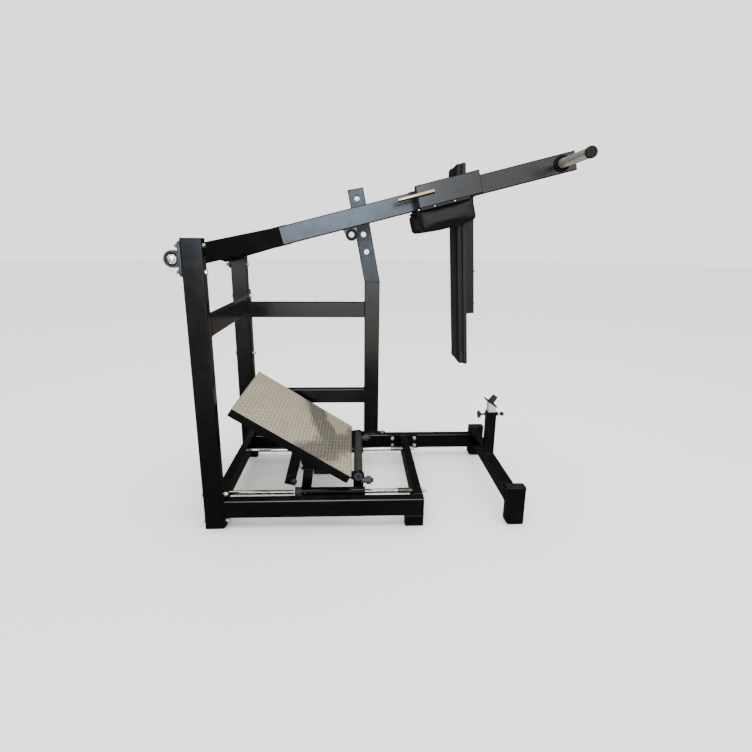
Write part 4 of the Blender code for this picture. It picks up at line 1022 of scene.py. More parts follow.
class SQUAT_OT_add_bearing_housings(bpy.types.Operator):
    """Add the cast bearing housings with their inserts and grease nipples"""

    bl_idname = "squat.add_bearing_housings"
    bl_label = "Bearing Housings"

    def execute(self, context):
        """Cast two pillow blocks on the rear faces of the uprights."""
        for label, side in SIDES:
            y = side * UPRIGHT_Y
            self.cast_block(context, f"{label}_block_casting", f"{label}_pillow_block", y)
            self.fit_insert(context, f"{label}_bearing_ring", y)
        return {"FINISHED"}

    def cast_block(self, context, name, node, y):
        """Foot with raised bolt bosses, waisted neck and round housing."""
        face = REAR_FACE - 0.0003
        centre = Vector((PIVOT.x, y, PIVOT.z))
        bm = bmesh.new()
        base = rounded_outline(0.165, 0.046, 0.0215, 6)
        slab(bm, base, 0.013, facing(Vector((face, y, PIVOT.z)), (-1, 0, 0)), 0.0015)
        for end in (-1, 1):
            boss = Vector((face - 0.012, y, PIVOT.z + end * BLOCK_BOLT_REACH))
            outline = rounded_outline(0.040, 0.036, 0.017, 6)
            slab(bm, outline, 0.0031, facing(boss, (-1, 0, 0)), 0.0012)
        offset = PIVOT.x - face
        neck = []
        for step in range(25):
            angle = math.radians(52) + math.radians(256) * step / 24
            neck.append((offset + 0.0405 * math.cos(angle), 0.0405 * math.sin(angle)))
        neck = [(-0.006, -0.046), (-0.006, 0.046), (-0.013, 0.045)] + neck + [(-0.013, -0.045)]
        width = 0.028
        side_on = Matrix.Translation((face, y + width / 2, PIVOT.z)) @ Matrix.Rotation(UP, 4, "X")
        rings = []
        inner = []
        for depth, inset in ((0.0, 0.002), (0.002, 0.0), (width - 0.002, 0.0), (width, 0.002)):
            ring = []
            for x, z in neck:
                dx = x - offset
                factor = 1 - inset / max(math.hypot(dx, z), 0.001)
                ring.append(bm.verts.new(side_on @ Vector((offset + dx * factor, z * factor, depth))))
            rings.append(ring)
        for depth in (width, 0.0):
            ring = []
            for x, z in neck:
                angle = math.atan2(z, x - offset)
                point = Vector((offset + 0.0315 * math.cos(angle), 0.0315 * math.sin(angle), depth))
                ring.append(bm.verts.new(side_on @ point))
            inner.append(ring)
        for first, second in zip(rings, rings[1:]):
            bridge(bm, first, second)
        bridge(bm, rings[-1], inner[0])
        bridge(bm, inner[0], inner[1])
        bridge(bm, inner[1], rings[0])
        collar = [(0.0315, -0.0168), (0.0385, -0.0168), (0.0395, -0.0155), (0.0400, -0.013)]
        collar += [(0.0400, 0.013), (0.0395, 0.0155), (0.0385, 0.0168), (0.0315, 0.0168)]
        turned(bm, collar, facing(centre, (0, 1, 0)), 64, closed=True)
        piece = add_piece(context, name, bm, "cast_iron", "frame", crease=40)
        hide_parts(node)
        bm = bmesh.new()
        nipple = Vector((PIVOT.x - 0.026, y, PIVOT.z + 0.0305))
        profile = [(0.0, 0.0), (0.0042, 0.0), (0.0042, 0.004), (0.0026, 0.005), (0.0020, 0.008)]
        profile += [(0.0026, 0.0095), (0.0024, 0.0115), (0.0, 0.0122)]
        turned(bm, profile, facing(nipple, (-0.65, 0, 0.76)), 16)
        add_piece(context, name.replace("block_casting", "grease_nipple"), bm, "zinc", "frame")

    def fit_insert(self, context, name, y):
        """Outer ring, dark seal and the set screws of the inner ring, both sides."""
        bm = bmesh.new()
        centre = Vector((PIVOT.x, y, PIVOT.z))
        for facing_side in (-1, 1):
            matrix = facing(centre, (0, facing_side, 0))
            seal = [(0.0220, 0.0113), (0.0312, 0.0113), (0.0312, 0.0138), (0.0220, 0.0130)]
            turned(bm, seal, matrix, 48, closed=True)
        add_piece(context, f"{name}_seals", bm, "rubber", "swing_arm")
        bm = bmesh.new()
        for facing_side in (-1, 1):
            for turn in (0.4, 2.5):
                across = Vector((math.cos(turn), 0, math.sin(turn)))
                point = centre + across * 0.0207 + Vector((0, facing_side * 0.0163, 0))
                matrix = facing(point, across)
                socket = [(0.0, 0.0008), (0.0012, 0.0008), (0.0015, 0.0016), (0.0022, 0.0016), (0.0022, 0.0)]
                turned(bm, socket + [(0.0, 0.0)], matrix, 16)
        add_piece(context, f"{name}_screws", bm, "plastic", "swing_arm")
        outward = 1 if y > 0 else -1
        shaft_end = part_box("pivot_shaft")[1].y - 0.0004
        end = facing(Vector((PIVOT.x, outward * shaft_end, PIVOT.z)), (0, outward, 0))
        bm = bmesh.new()
        face = [(0.0028, 0.0), (0.0142, 0.0), (0.0142, 0.0005), (0.0136, 0.0007), (0.0034, 0.0007)]
        turned(bm, face, end, 40, closed=True)
        add_piece(context, name.replace("bearing_ring", "shaft_end_face"), bm, "zinc", "swing_arm")


class SQUAT_OT_add_frame_bolts(bpy.types.Operator):
    """Add the bolts and nuts that hold the frame together"""

    bl_idname = "squat.add_frame_bolts"
    bl_label = "Frame Bolts"

    def execute(self, context):
        """Bolt the pillow blocks, flanges, side plate and post to the tubes."""
        settings = context.scene.squat_fasteners
        for label, side in SIDES:
            bm = bmesh.new()
            for end in (-1, 1):
                z = PIVOT.z + end * BLOCK_BOLT_REACH
                y = side * UPRIGHT_Y
                bolt_nut(bm, at(-0.0155, y, z), -FORWARD, settings, 0.3 * end)
                bolt_head(bm, at(0.100, y, z), FORWARD, settings, 0.2 + 0.4 * end)
            add_piece(context, f"{label}_pillow_bolts", bm, "zinc", "frame")
        self.through_bolts(context, "near_flange_bolts", -UPRIGHT_Y, (0.190, 0.035), settings)
        self.through_bolts(context, "side_plate_bolts", UPRIGHT_Y, (1.146, 0.758, 0.365), settings)
        bm = bmesh.new()
        for end in (-1, 1):
            for height in (0.138, 0.086):
                x = FRONT_CROSS_X + end * 0.078
                bolt_nut(bm, at(x, 0.3566, height), -ACROSS, settings, 0.5 * end + height)
                bolt_head(bm, at(x, OUTER_Y, height), ACROSS, settings, end + 3 * height)
            post_x = POST_X + end * 0.080
            bolt_nut(bm, at(post_x, UPRIGHT_Y, 0.1704), UPWARD, settings, 0.7 * end)
            bolt_head(bm, at(post_x, UPRIGHT_Y, 0.0620), -UPWARD, settings, 0.4 * end)
        add_piece(context, "crossmember_and_post_bolts", bm, "zinc", "frame")
        return {"FINISHED"}

    def through_bolts(self, context, name, y, heights, settings):
        """Bolts through an upright from its rear face to the plate on its front face."""
        bm = bmesh.new()
        for index, z in enumerate(heights):
            bolt_nut(bm, at(0.1084, y, z), FORWARD, settings, 0.37 * index)
            bolt_head(bm, at(0.0, y, z), -FORWARD, settings, 0.9 * index)
        add_piece(context, name, bm, "zinc", "frame")


class SQUAT_OT_add_frame_welds(bpy.types.Operator):
    """Add the weld beads of the standing frame"""

    bl_idname = "squat.add_frame_welds"
    bl_label = "Frame Welds"

    def execute(self, context):
        """Lay a bead round every welded joint of the frame."""
        settings = context.scene.squat_fasteners
        joints = []
        for side in (-1, 1):
            face = side * (INNER_Y - 0.0008)
            for x, z in ((0.075, 1.085), (0.055, RAIL_HEIGHT), (1.635, 0.166)):
                joints.append((x, face, z, FORWARD, UPWARD))
        joints += [
            (FRONT_CROSS_X, 0.0008 - INNER_Y, RAIL_HEIGHT, FORWARD, UPWARD),
            (FRONT_CROSS_X, 0.3560, RAIL_HEIGHT, FORWARD, UPWARD),
            (0.1092, -UPRIGHT_Y, RAIL_HEIGHT, ACROSS, UPWARD),
            (1.113, -UPRIGHT_Y, 0.0615, FORWARD, ACROSS),
            (0.1008, UPRIGHT_Y, RAIL_HEIGHT, ACROSS, UPWARD),
            (1.6093, UPRIGHT_Y, RAIL_HEIGHT, ACROSS, UPWARD),
            (POST_X, UPRIGHT_Y, 0.1711, FORWARD, ACROSS),
        ]
        for z in (1.056, 0.455):
            joints += [(x, UPRIGHT_Y, z, ACROSS, UPWARD) for x in (0.1094, 0.8562)]
        lean = POST_LEAN / 2
        seam = (FORWARD * math.cos(lean) - UPWARD * math.sin(lean)) / math.cos(lean)
        joints.append((POST_X, UPRIGHT_Y, POST_KINK, seam, ACROSS))
        bm = bmesh.new()
        for x, y, z, first, second in joints:
            size = (TUBE_WIDE, TUBE_DEEP) if second is UPWARD else (TUBE_DEEP, TUBE_WIDE)
            weld_round_tube(bm, at(x, y, z), first, second, *size, settings)
        stop_foot = at(STOP_X - REAR_FACE, 0.0, 0.2170)
        weld_round_tube(bm, stop_foot, FORWARD, ACROSS, 0.056, 0.056, settings)
        add_piece(context, "frame_weld_beads", bm, "powder_coat", "frame", crease=60)
        return {"FINISHED"}


class SQUAT_OT_add_tube_caps(bpy.types.Operator):
    """Add the moulded caps on the open tube ends"""

    bl_idname = "squat.add_tube_caps"
    bl_label = "Tube Caps"

    def execute(self, context):
        """Cap the uprights, the post, the foot blocks, the head rails and the beam."""
        bm = bmesh.new()
        cap = rounded_outline(0.1012, 0.0512, 0.0056, 4)
        for side in (-1, 1):
            top = at(0.050, side * UPRIGHT_Y, UPRIGHT_HIGH.z + 0.0002)
            slab(bm, cap, 0.0030, Matrix.Translation(top), 0.0010)
            foot_top = at(1.660, side * UPRIGHT_Y, 0.2162)
            slab(bm, cap, 0.0026, Matrix.Translation(foot_top), 0.0009)
        head_axis = Vector((-math.sin(POST_LEAN), 0, math.cos(POST_LEAN)))
        head_top = at(POST_X, UPRIGHT_Y, POST_KINK) + head_axis * 0.5832
        turn = Matrix.Rotation(-POST_LEAN, 4, "Y")
        slab(bm, cap, 0.0026, Matrix.Translation(head_top) @ turn, 0.0009)
        add_piece(context, "frame_tube_caps", bm, "plastic", "frame")
        bm = bmesh.new()
        rail_cap = rounded_outline(0.1162, 0.0512, 0.0056, 4)
        for side in (-1, 1):
            for station, direction in ((1.1978, -1), (1.5222, 1)):
                place = self.end_matrix(station, side * 0.140, 0.0075, direction)
                slab(bm, rail_cap, 0.0024, place, 0.0009)
        slab(bm, cap, 0.0026, self.end_matrix(2.0799, 0.0, 0.0, 1), 0.0009)
        add_piece(context, "arm_tube_caps", bm, "plastic", "swing_arm")
        return {"FINISHED"}

    def end_matrix(self, station, y, above, direction):
        """Matrix whose Z runs along the beam and whose X is the beam's deep side."""
        along = ARM_ALONG * direction
        return axes_at(on_arm(station, y, above), ARM_ABOVE, along.cross(ARM_ABOVE), along)


class SQUAT_OT_add_rod_fittings(bpy.types.Operator):
    """Add the nuts and the spring buffers of the guide rods"""

    bl_idname = "squat.add_rod_fittings"
    bl_label = "Rod Fittings"

    def execute(self, context):
        """Nut both ends of both rods and wind their springs."""
        settings = context.scene.squat_fasteners
        bm = bmesh.new()
        for side in (-1, 1):
            front = at(1.1632, side * ROD_Y, ROD_Z)
            rear = at(0.0298, side * ROD_Y, ROD_Z)
            bolt_nut(bm, front, FORWARD, settings, 0.2, 1.45, 0.014)
            bolt_nut(bm, rear, -FORWARD, settings, 0.6, 1.12, 0.008)
        add_piece(context, "rod_end_nuts", bm, "zinc", "frame")
        for label, side in SIDES:
            self.wind_spring(context, label, side)
        return {"FINISHED"}

    def wind_spring(self, context, label, side):
        """Ten turns of round wire."""
        low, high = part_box(f"{label}_rod_spring")
        centre_y = side * ROD_Y
        wire_radius = 0.0023
        radius = 0.01505
        start = low.x + wire_radius
        length = high.x - low.x - 2 * wire_radius
        turns = 10
        steps = 26
        points = []
        for step in range(turns * steps + 1):
            part = step / (turns * steps)
            angle = 2 * math.pi * step / steps
            y = centre_y + radius * math.cos(angle)
            z = ROD_Z + radius * math.sin(angle)
            points.append(Vector((start + length * part, y, z)))
        bm = bmesh.new()
        sweep(bm, points, [wire_radius] * len(points), 10)
        spring = add_piece(context, f"{label}_spring_coil", bm, "spring_steel", "frame", crease=60)
        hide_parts(f"{label}_rod_spring")


class SQUAT_OT_add_arm_welds(bpy.types.Operator):
    """Add the weld beads of the swinging arm"""

    bl_idname = "squat.add_arm_welds"
    bl_label = "Arm Welds"

    def execute(self, context):
        """Lay the beads of the yoke, the head frame, the horns and the back support."""
        settings = context.scene.squat_fasteners
        bm = bmesh.new()
        tube, deep = TUBE_WIDE, TUBE_DEEP
        for station in (1.2046, 1.5154):
            weld_round_tube(bm, on_arm(station, 0, 0), ACROSS, ARM_ABOVE, tube, deep, settings)
        for side in (-1, 1):
            for station in (1.230, 1.490):
                centre = on_arm(station, side * 0.1144, 0)
                weld_round_tube(bm, centre, ARM_ALONG, ARM_ABOVE, tube, deep, settings)
            horn = on_arm(HORN_STATION, side * 0.0255, 0)
            weld_circle(bm, horn, ACROSS, 0.0422, settings, 0.8)
            for above in (-1, 1):
                self.yoke_beads(bm, side, above, settings)
            for above in (-1, 1):
                start = on_arm(1.203, side * 0.1655, 0.016 + above * 0.0085)
                end = on_arm(1.276, side * 0.1655, 0.016 + above * 0.0085)
                weld_line(bm, [start, end], settings, scale=0.8)
        support_top = on_arm(1.4905, 0, -0.0510)
        low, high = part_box("back_support_tube")
        width = high.y - low.y
        weld_round_tube(bm, support_top, ARM_ALONG, ACROSS, 0.060, width, settings, 0.004)
        add_piece(context, "arm_weld_beads", bm, "powder_coat", "swing_arm", crease=60)
        return {"FINISHED"}

    def yoke_beads(self, bm, side, above, settings):
        """Beads along the top and bottom edges where a leg meets the beam."""
        height = above * 0.0498
        start = on_arm(0.4454 - 0.036, side * 0.0255, height)
        end = on_arm(0.4454 + 0.044, side * 0.0255, height)
        weld_line(bm, [start, end], settings, scale=0.9)


class SQUAT_OT_add_grips(bpy.types.Operator):
    """Add the passivated grip bars"""

    bl_idname = "squat.add_grips"
    bl_label = "Grip Bars"

    def execute(self, context):
        """Two bars with broken edges, a bore at the rear end and its plug."""
        for label in ("near", "far"):
            y = middle(f"{label}_handle").y
            origin = on_arm(HANDLE_START, y, 0.016)
            matrix = facing(origin, ARM_ALONG)
            bm = bmesh.new()
            profile = [(0.0062, 0.0), (0.0088, 0.0), (0.0097, 0.0006), (0.0100, 0.0016)]
            profile += [(0.0100, HANDLE_LENGTH - 0.0016), (0.0097, HANDLE_LENGTH - 0.0005)]
            profile += [(0.0088, HANDLE_LENGTH), (0.0, HANDLE_LENGTH)]
            turned(bm, profile + [(0.0, 0.010), (0.0062, 0.010)], matrix, 48)
            grip = add_piece(context, f"{label}_grip_bar", bm, "yellow_zinc", "swing_arm")
            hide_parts(f"{label}_handle")
            bm = bmesh.new()
            plug = [(0.0, 0.0002), (0.0030, 0.0), (0.0060, 0.0006), (0.0061, 0.0090), (0.0, 0.0092)]
            turned(bm, plug, matrix, 32)
            add_piece(context, f"{label}_grip_plug", bm, "plastic", "swing_arm")
        return {"FINISHED"}


class SQUAT_OT_add_horns(bpy.types.Operator):
    """Add the weight horns with their seats and end caps"""

    bl_idname = "squat.add_horns"
    bl_label = "Weight Horns"

    def execute(self, context):
        """Chromed sleeve on a seat disc, and a moulded cap on its outer end."""
        for label, side in SIDES:
            origin = on_arm(HORN_STATION, side * 0.0253, 0)
            matrix = facing(origin, (0, side, 0))
            reach = HORN_REACH
            seat = [(0.0, 0.0), (0.0405, 0.0), (0.0418, 0.0012), (0.0420, 0.0024)]
            seat += [(0.0420, 0.0098), (0.0414, 0.0112), (0.0405, 0.0118), (0.0285, 0.0120)]
            seat += [(0.0272, 0.0128), (0.0264, 0.0150), (0.0, 0.0150)]
            bm = bmesh.new()
            turned(bm, seat, matrix, 72)
            disc = add_piece(context, f"{label}_horn_seat", bm, "matt_black", "swing_arm")
            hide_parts(f"{label}_weight_horn")
            profile = [(0.0, 0.0130), (HORN_RADIUS, 0.0130), (HORN_RADIUS, reach), (0.0, reach)]
            bm = bmesh.new()
            turned(bm, profile, matrix, 72)
            horn = add_piece(context, f"{label}_horn_sleeve", bm, "sleeve_steel", "swing_arm")
            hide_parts(f"{label}_weight_horn")
            bm = bmesh.new()
            cap = [(0.0, reach - 0.0065), (0.0272, reach - 0.0065), (0.0282, reach - 0.0055)]
            cap += [(0.0285, reach - 0.004), (0.0285, reach + 0.0055), (0.0278, reach + 0.0080)]
            cap += [(0.0260, reach + 0.0094), (0.0225, reach + 0.0098), (0.0, reach + 0.0100)]
            turned(bm, cap, matrix, 64)
            add_piece(context, f"{label}_horn_cap", bm, "rubber", "swing_arm")
        return {"FINISHED"}


class SQUAT_OT_add_roller(bpy.types.Operator):
    """Add the rubber catch roller and the cap of its pin"""

    bl_idname = "squat.add_roller"
    bl_label = "Catch Roller"

    def execute(self, context):
        """Tyre with rounded shoulders, and a nylon cap on the end of the pin."""
        centre = middle("catch_roller")
        matrix = facing(centre, (0, 1, 0))
        half = 0.0175
        bm = bmesh.new()
        profile = [(0.0168, -half), (0.0290, -half), (0.0315, -half + 0.0012)]
        profile += [(0.0328, -half + 0.0038), (0.0330, -0.006), (0.0330, 0.006)]
        profile += [(0.0328, half - 0.0038), (0.0315, half - 0.0012), (0.0290, half), (0.0168, half)]
        turned(bm, profile, matrix, 64, closed=True)
        tyre = add_piece(context, "catch_tyre", bm, "rubber", "roller")
        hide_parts("catch_roller")
        bm = bmesh.new()
        pin_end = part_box("catch_bracket")[0].y
        head = Vector((centre.x, pin_end, centre.z))
        cap = [(0.0, 0.0), (0.0150, 0.0), (0.0150, 0.0012), (0.0132, 0.0024), (0.0070, 0.0030), (0.0, 0.0030)]
        turned(bm, cap, facing(head, (0, -1, 0)), 40)
        add_piece(context, "roller_pin_cap", bm, "nylon", "swing_arm")
        return {"FINISHED"}


def grid_line(half, radius, count):
    """Places of the grid lines across a pad, close together at its round edges."""
    flat = half - radius
    inner = [-flat + 2 * flat * i / count for i in range(count + 1)]
    edge = [flat + radius * part for part in (0.30, 0.55, 0.78, 0.92, 1.0)]
    return [-value for value in reversed(edge)] + inner + edge


def stuffed_block(bm, size, radius, crown, matrix, counts):
    """A block with round edges whose outer faces rise in a crown; local +Z is the face."""
    half = [value / 2 for value in size]
    lines = [grid_line(half[i], radius, counts[i]) for i in range(3)]
    corners = {}

    def corner(key):
        """The vertex at a place of the grid, made on first use."""
        if key not in corners:
            point = Vector([lines[k][key[k]] for k in range(3)])
            flat = Vector([max(radius - half[i], min(half[i] - radius, point[i])) for i in range(3)])
            away = point - flat
            if away.length > 0:
                point = flat + away.normalized() * radius
            along = point.x / half[0]
            across = point.y / half[1]
            swell = max(0.0, 1 - along ** 4) * max(0.0, 1 - across ** 2)
            if point.z > 0:
                point.z *= 1 - crown + crown * swell
            corners[key] = bm.verts.new(matrix @ point)
        return corners[key]

    for axis in range(3):
        first, second = [i for i in range(3) if i != axis]
        for end in (0, len(lines[axis]) - 1):
            for i in range(len(lines[first]) - 1):
                for j in range(len(lines[second]) - 1):
                    face = []
                    for di, dj in ((0, 0), (1, 0), (1, 1), (0, 1)):
                        key = [0, 0, 0]
                        key[axis] = end
                        key[first] = i + di
                        key[second] = j + dj
                        face.append(corner(tuple(key)))
                    bm.faces.new(face)


def blow_up(context, item, settings, matrix, floor_level):
    """Swell a pad's cover by the pressure of its foam; it stays flat where it rests."""
    mesh = item.data
    context.view_layer.objects.active = item
    for other in context.selected_objects:
        other.select_set(False)
    item.select_set(True)
    mesh.remesh_voxel_size = settings.voxel
    mesh.use_remesh_fix_poles = False
    bpy.ops.object.voxel_remesh()
    before = [vertex.co.copy() for vertex in mesh.vertices]
    cloth = item.modifiers.new("stuffing", "CLOTH")
    cloth.settings.use_pressure = True
    cloth.settings.uniform_pressure_force = settings.pressure
    cloth.settings.quality = 5
    cloth.settings.mass = 0.4
    cloth.settings.tension_stiffness = 22
    cloth.settings.compression_stiffness = 22
    cloth.settings.bending_stiffness = 1.6
    cloth.settings.effector_weights.gravity = 0
    cloth.collision_settings.use_collision = False
    for number in range(1, 21):
        context.scene.frame_set(number)
    depsgraph = context.evaluated_depsgraph_get()
    evaluated = item.evaluated_get(depsgraph)
    after = [vertex.co.copy() for vertex in evaluated.data.vertices]
    item.modifiers.remove(cloth)
    context.scene.frame_set(1)
    inverse = matrix.inverted()
    for vertex, start, end in zip(mesh.vertices, before, after):
        move = end - start
        if move.length > settings.puff:
            move = move.normalized() * settings.puff
        place = inverse @ (start + move)
        if place.z < floor_level:
            place.z = floor_level
        vertex.co = matrix @ place
    subdivide = item.modifiers.new("fine", "SUBSURF")
    subdivide.levels = 1
    subdivide.render_levels = 1
    bpy.ops.object.modifier_apply(modifier=subdivide.name)
    mesh.shade_smooth()


def on_surface(tree, points, lift=0.0):
    """Move points onto the nearest place of a surface, raised by lift."""
    moved = []
    for point in points:
        place, normal = tree.find_nearest(point)[:2]
        moved.append(place + normal * lift)
    return moved


def surface_of(item):
    """A search tree of a piece's faces."""
    places = [vertex.co.copy() for vertex in item.data.vertices]
    return BVHTree.FromPolygons(places, [tuple(face.vertices) for face in item.data.polygons])


def sew_seam(context, name, tree, points, settings, body, loop=True, offset=0.0045, inward=None):
    """A turned-in seam along points of a cover, with a row of stitches beside it."""
    spaced = on_surface(tree, resample(points, 0.004, loop), -0.0004)
    bm = bmesh.new()
    sweep(bm, spaced, [settings.seam_radius] * len(spaced), 8, loop)
    add_piece(context, f"{name}_seam", bm, "vinyl", body, crease=80)
    bm = bmesh.new()
    rows = resample([p + inward * offset for p in points], settings.stitch_pitch / 2, loop)
    placed = on_surface(tree, rows, 0.0002)
    for i in range(0, len(placed) - 1, 2):
        start = placed[i]
        end = placed[i + 1]
        centre = (start + end) / 2
        sweep(bm, [start, centre, end], [0.00025, 0.00045, 0.00025], 5)
    add_piece(context, f"{name}_stitches", bm, "thread", body, crease=80)


class SQUAT_OT_add_shoulder_pads(bpy.types.Operator):
    """Add the stuffed shoulder pads on their boards"""

    bl_idname = "squat.add_shoulder_pads"
    bl_label = "Shoulder Pads"

    def execute(self, context):
        """Two deep pads under the head frame, boxed with sewn end panels."""
        settings = context.scene.squat_pads
        for label, side in SIDES:
            self.stuff_pad(context, label, side * SHOULDER_PAD_Y, settings)
            self.fit_board(context, label, side * SHOULDER_PAD_Y)
        return {"FINISHED"}

    def pad_matrix(self, y, depth):
        """Local X along the beam, local Z down through the pad."""
        top = -(BEAM_HALF_DEEP + 0.0003)
        origin = on_arm(SHOULDER_PAD_STATION, y, top - depth)
        return axes_at(origin, ARM_ALONG, -ACROSS, -ARM_ABOVE)

    def stuff_pad(self, context, label, y, settings):
        """Swell the cover and sew its end seams."""
        size = (
            SHOULDER_PAD_SIZE[0] - 2 * settings.puff,
            SHOULDER_PAD_SIZE[1] - 2 * settings.puff,
            SHOULDER_PAD_SIZE[2] - SHOULDER_BOARD - settings.puff,
        )
        depth = SHOULDER_BOARD + size[2] / 2
        matrix = self.pad_matrix(y, depth)
        bm = bmesh.new()
        stuffed_block(bm, size, 0.024, 0.06, matrix, (14, 4, 5))
        pad = add_piece(context, f"{label}_shoulder_cushion", bm, "vinyl", "swing_arm")
        blow_up(context, pad, settings, matrix, -size[2] / 2)
        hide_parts(f"{label}_shoulder_pad")
        tree = surface_of(pad)
        reach = SHOULDER_PAD_SIZE[0] / 2 - 0.020
        outline = rounded_outline(SHOULDER_PAD_SIZE[1] + 0.004, size[2] + 0.004, 0.026, 8)
        for end, end_label in ((-1, "rear"), (1, "front")):
            points = [matrix @ Vector((end * reach, y_, z_)) for y_, z_ in outline]
            name = f"{label}_shoulder_{end_label}"
            sew_seam(context, name, tree, points, settings, "swing_arm", inward=-ARM_ALONG * end)

    def fit_board(self, context, label, y):
        """Plywood board between the pad and the head frame, with its screws."""
        bm = bmesh.new()
        origin = on_arm(SHOULDER_PAD_STATION, y, -(BEAM_HALF_DEEP + 0.0005))
        matrix = axes_at(origin, ARM_ALONG, -ACROSS, -ARM_ABOVE)
        outline = rounded_outline(SHOULDER_PAD_SIZE[0] - 0.036, SHOULDER_PAD_SIZE[1] - 0.012, 0.012, 5)
        slab(bm, outline, SHOULDER_BOARD, matrix, 0.0015)
        add_piece(context, f"{label}_shoulder_board", bm, "board", "swing_arm")
        outer = 1 if y > 0 else -1
        edge = y + outer * (SHOULDER_PAD_SIZE[1] / 2 - 0.0062)
        bm = bmesh.new()
        for station in (1.180, 1.262, 1.366):
            head = [(0.0, 0.0), (0.0038, 0.0), (0.0036, 0.0010), (0.0024, 0.0020), (0.0, 0.0023)]
            point = on_arm(station, edge, -(BEAM_HALF_DEEP + SHOULDER_BOARD / 2))
            turned(bm, head, facing(point, (0, outer, 0)), 20)
        add_piece(context, f"{label}_shoulder_board_screws", bm, "zinc", "swing_arm")


class SQUAT_OT_add_back_pad(bpy.types.Operator):
    """Add the stuffed back pad"""

    bl_idname = "squat.add_back_pad"
    bl_label = "Back Pad"

    def execute(self, context):
        """One long pad with a sewn edge, on a board.

        The board is as long as the pad, which is more than the solid that it stands for.
        """
        settings = context.scene.squat_pads
        lean, thick = PAD_LEAN, PAD_THICK
        low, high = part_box("back_pad")
        upward = Vector((-math.sin(lean), 0, math.cos(lean)))
        outward = Vector((-math.cos(lean), 0, -math.sin(lean)))
        length = (1.897 - 0.806) / math.cos(lean)
        width = high.y - low.y
        centre = Vector(((low.x + high.x) / 2, 0.0, (low.z + high.z) / 2)) + upward * 0.004
        size = (length - 2 * settings.puff, width - 2 * settings.puff, thick - settings.puff)
        depth = thick / 2 - size[2] / 2
        matrix = axes_at(centre - outward * depth, upward, ACROSS, outward)
        bm = bmesh.new()
        stuffed_block(bm, size, 0.0095, 0.05, matrix, (40, 8, 2))
        pad = add_piece(context, "back_cushion", bm, "vinyl", "swing_arm")
        blow_up(context, pad, settings, matrix, -size[2] / 2)
        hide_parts("back_pad")
        tree = surface_of(pad)
        outline = rounded_outline(length + 0.002, width + 0.002, 0.018, 8)
        points = [matrix @ Vector((x, y, -size[2] * 0.22)) for x, y in outline]
        sew_seam(context, "back_edge", tree, points, settings, "swing_arm", inward=outward)
        bm = bmesh.new()
        outline = rounded_outline(length - 0.011, width - 0.003, 0.010, 6)
        behind = Matrix.Translation(-outward * (size[2] / 2 + 0.0122))
        slab(bm, outline, 0.0185, behind @ matrix, 0.0012)
        board = add_piece(context, "back_board", bm, "board", "swing_arm")
        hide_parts("back_pad_board")
        return {"FINISHED"}


class SQUAT_OT_add_pad_bolts(bpy.types.Operator):
    """Add the bolts of the back pad"""

    bl_idname = "squat.add_pad_bolts"
    bl_label = "Pad Bolts"

    def execute(self, context):
        """Two small bolts through the back support."""
        settings = context.scene.squat_fasteners
        bm = bmesh.new()
        lean = PAD_LEAN
        behind = Vector((math.cos(lean), 0, math.sin(lean)))
        for height in (1.150, 1.330):
            board = 1.332 - (height - 1.560) * math.tan(lean)
            reach = PAD_THICK + 0.012 + 0.0006 + 0.060
            point = at(board, 0.0, height) + behind * reach
            bolt_head(bm, point, behind, settings, 0.3, 0.85)
        add_piece(context, "pad_bolts", bm, "zinc", "swing_arm")
        return {"FINISHED"}


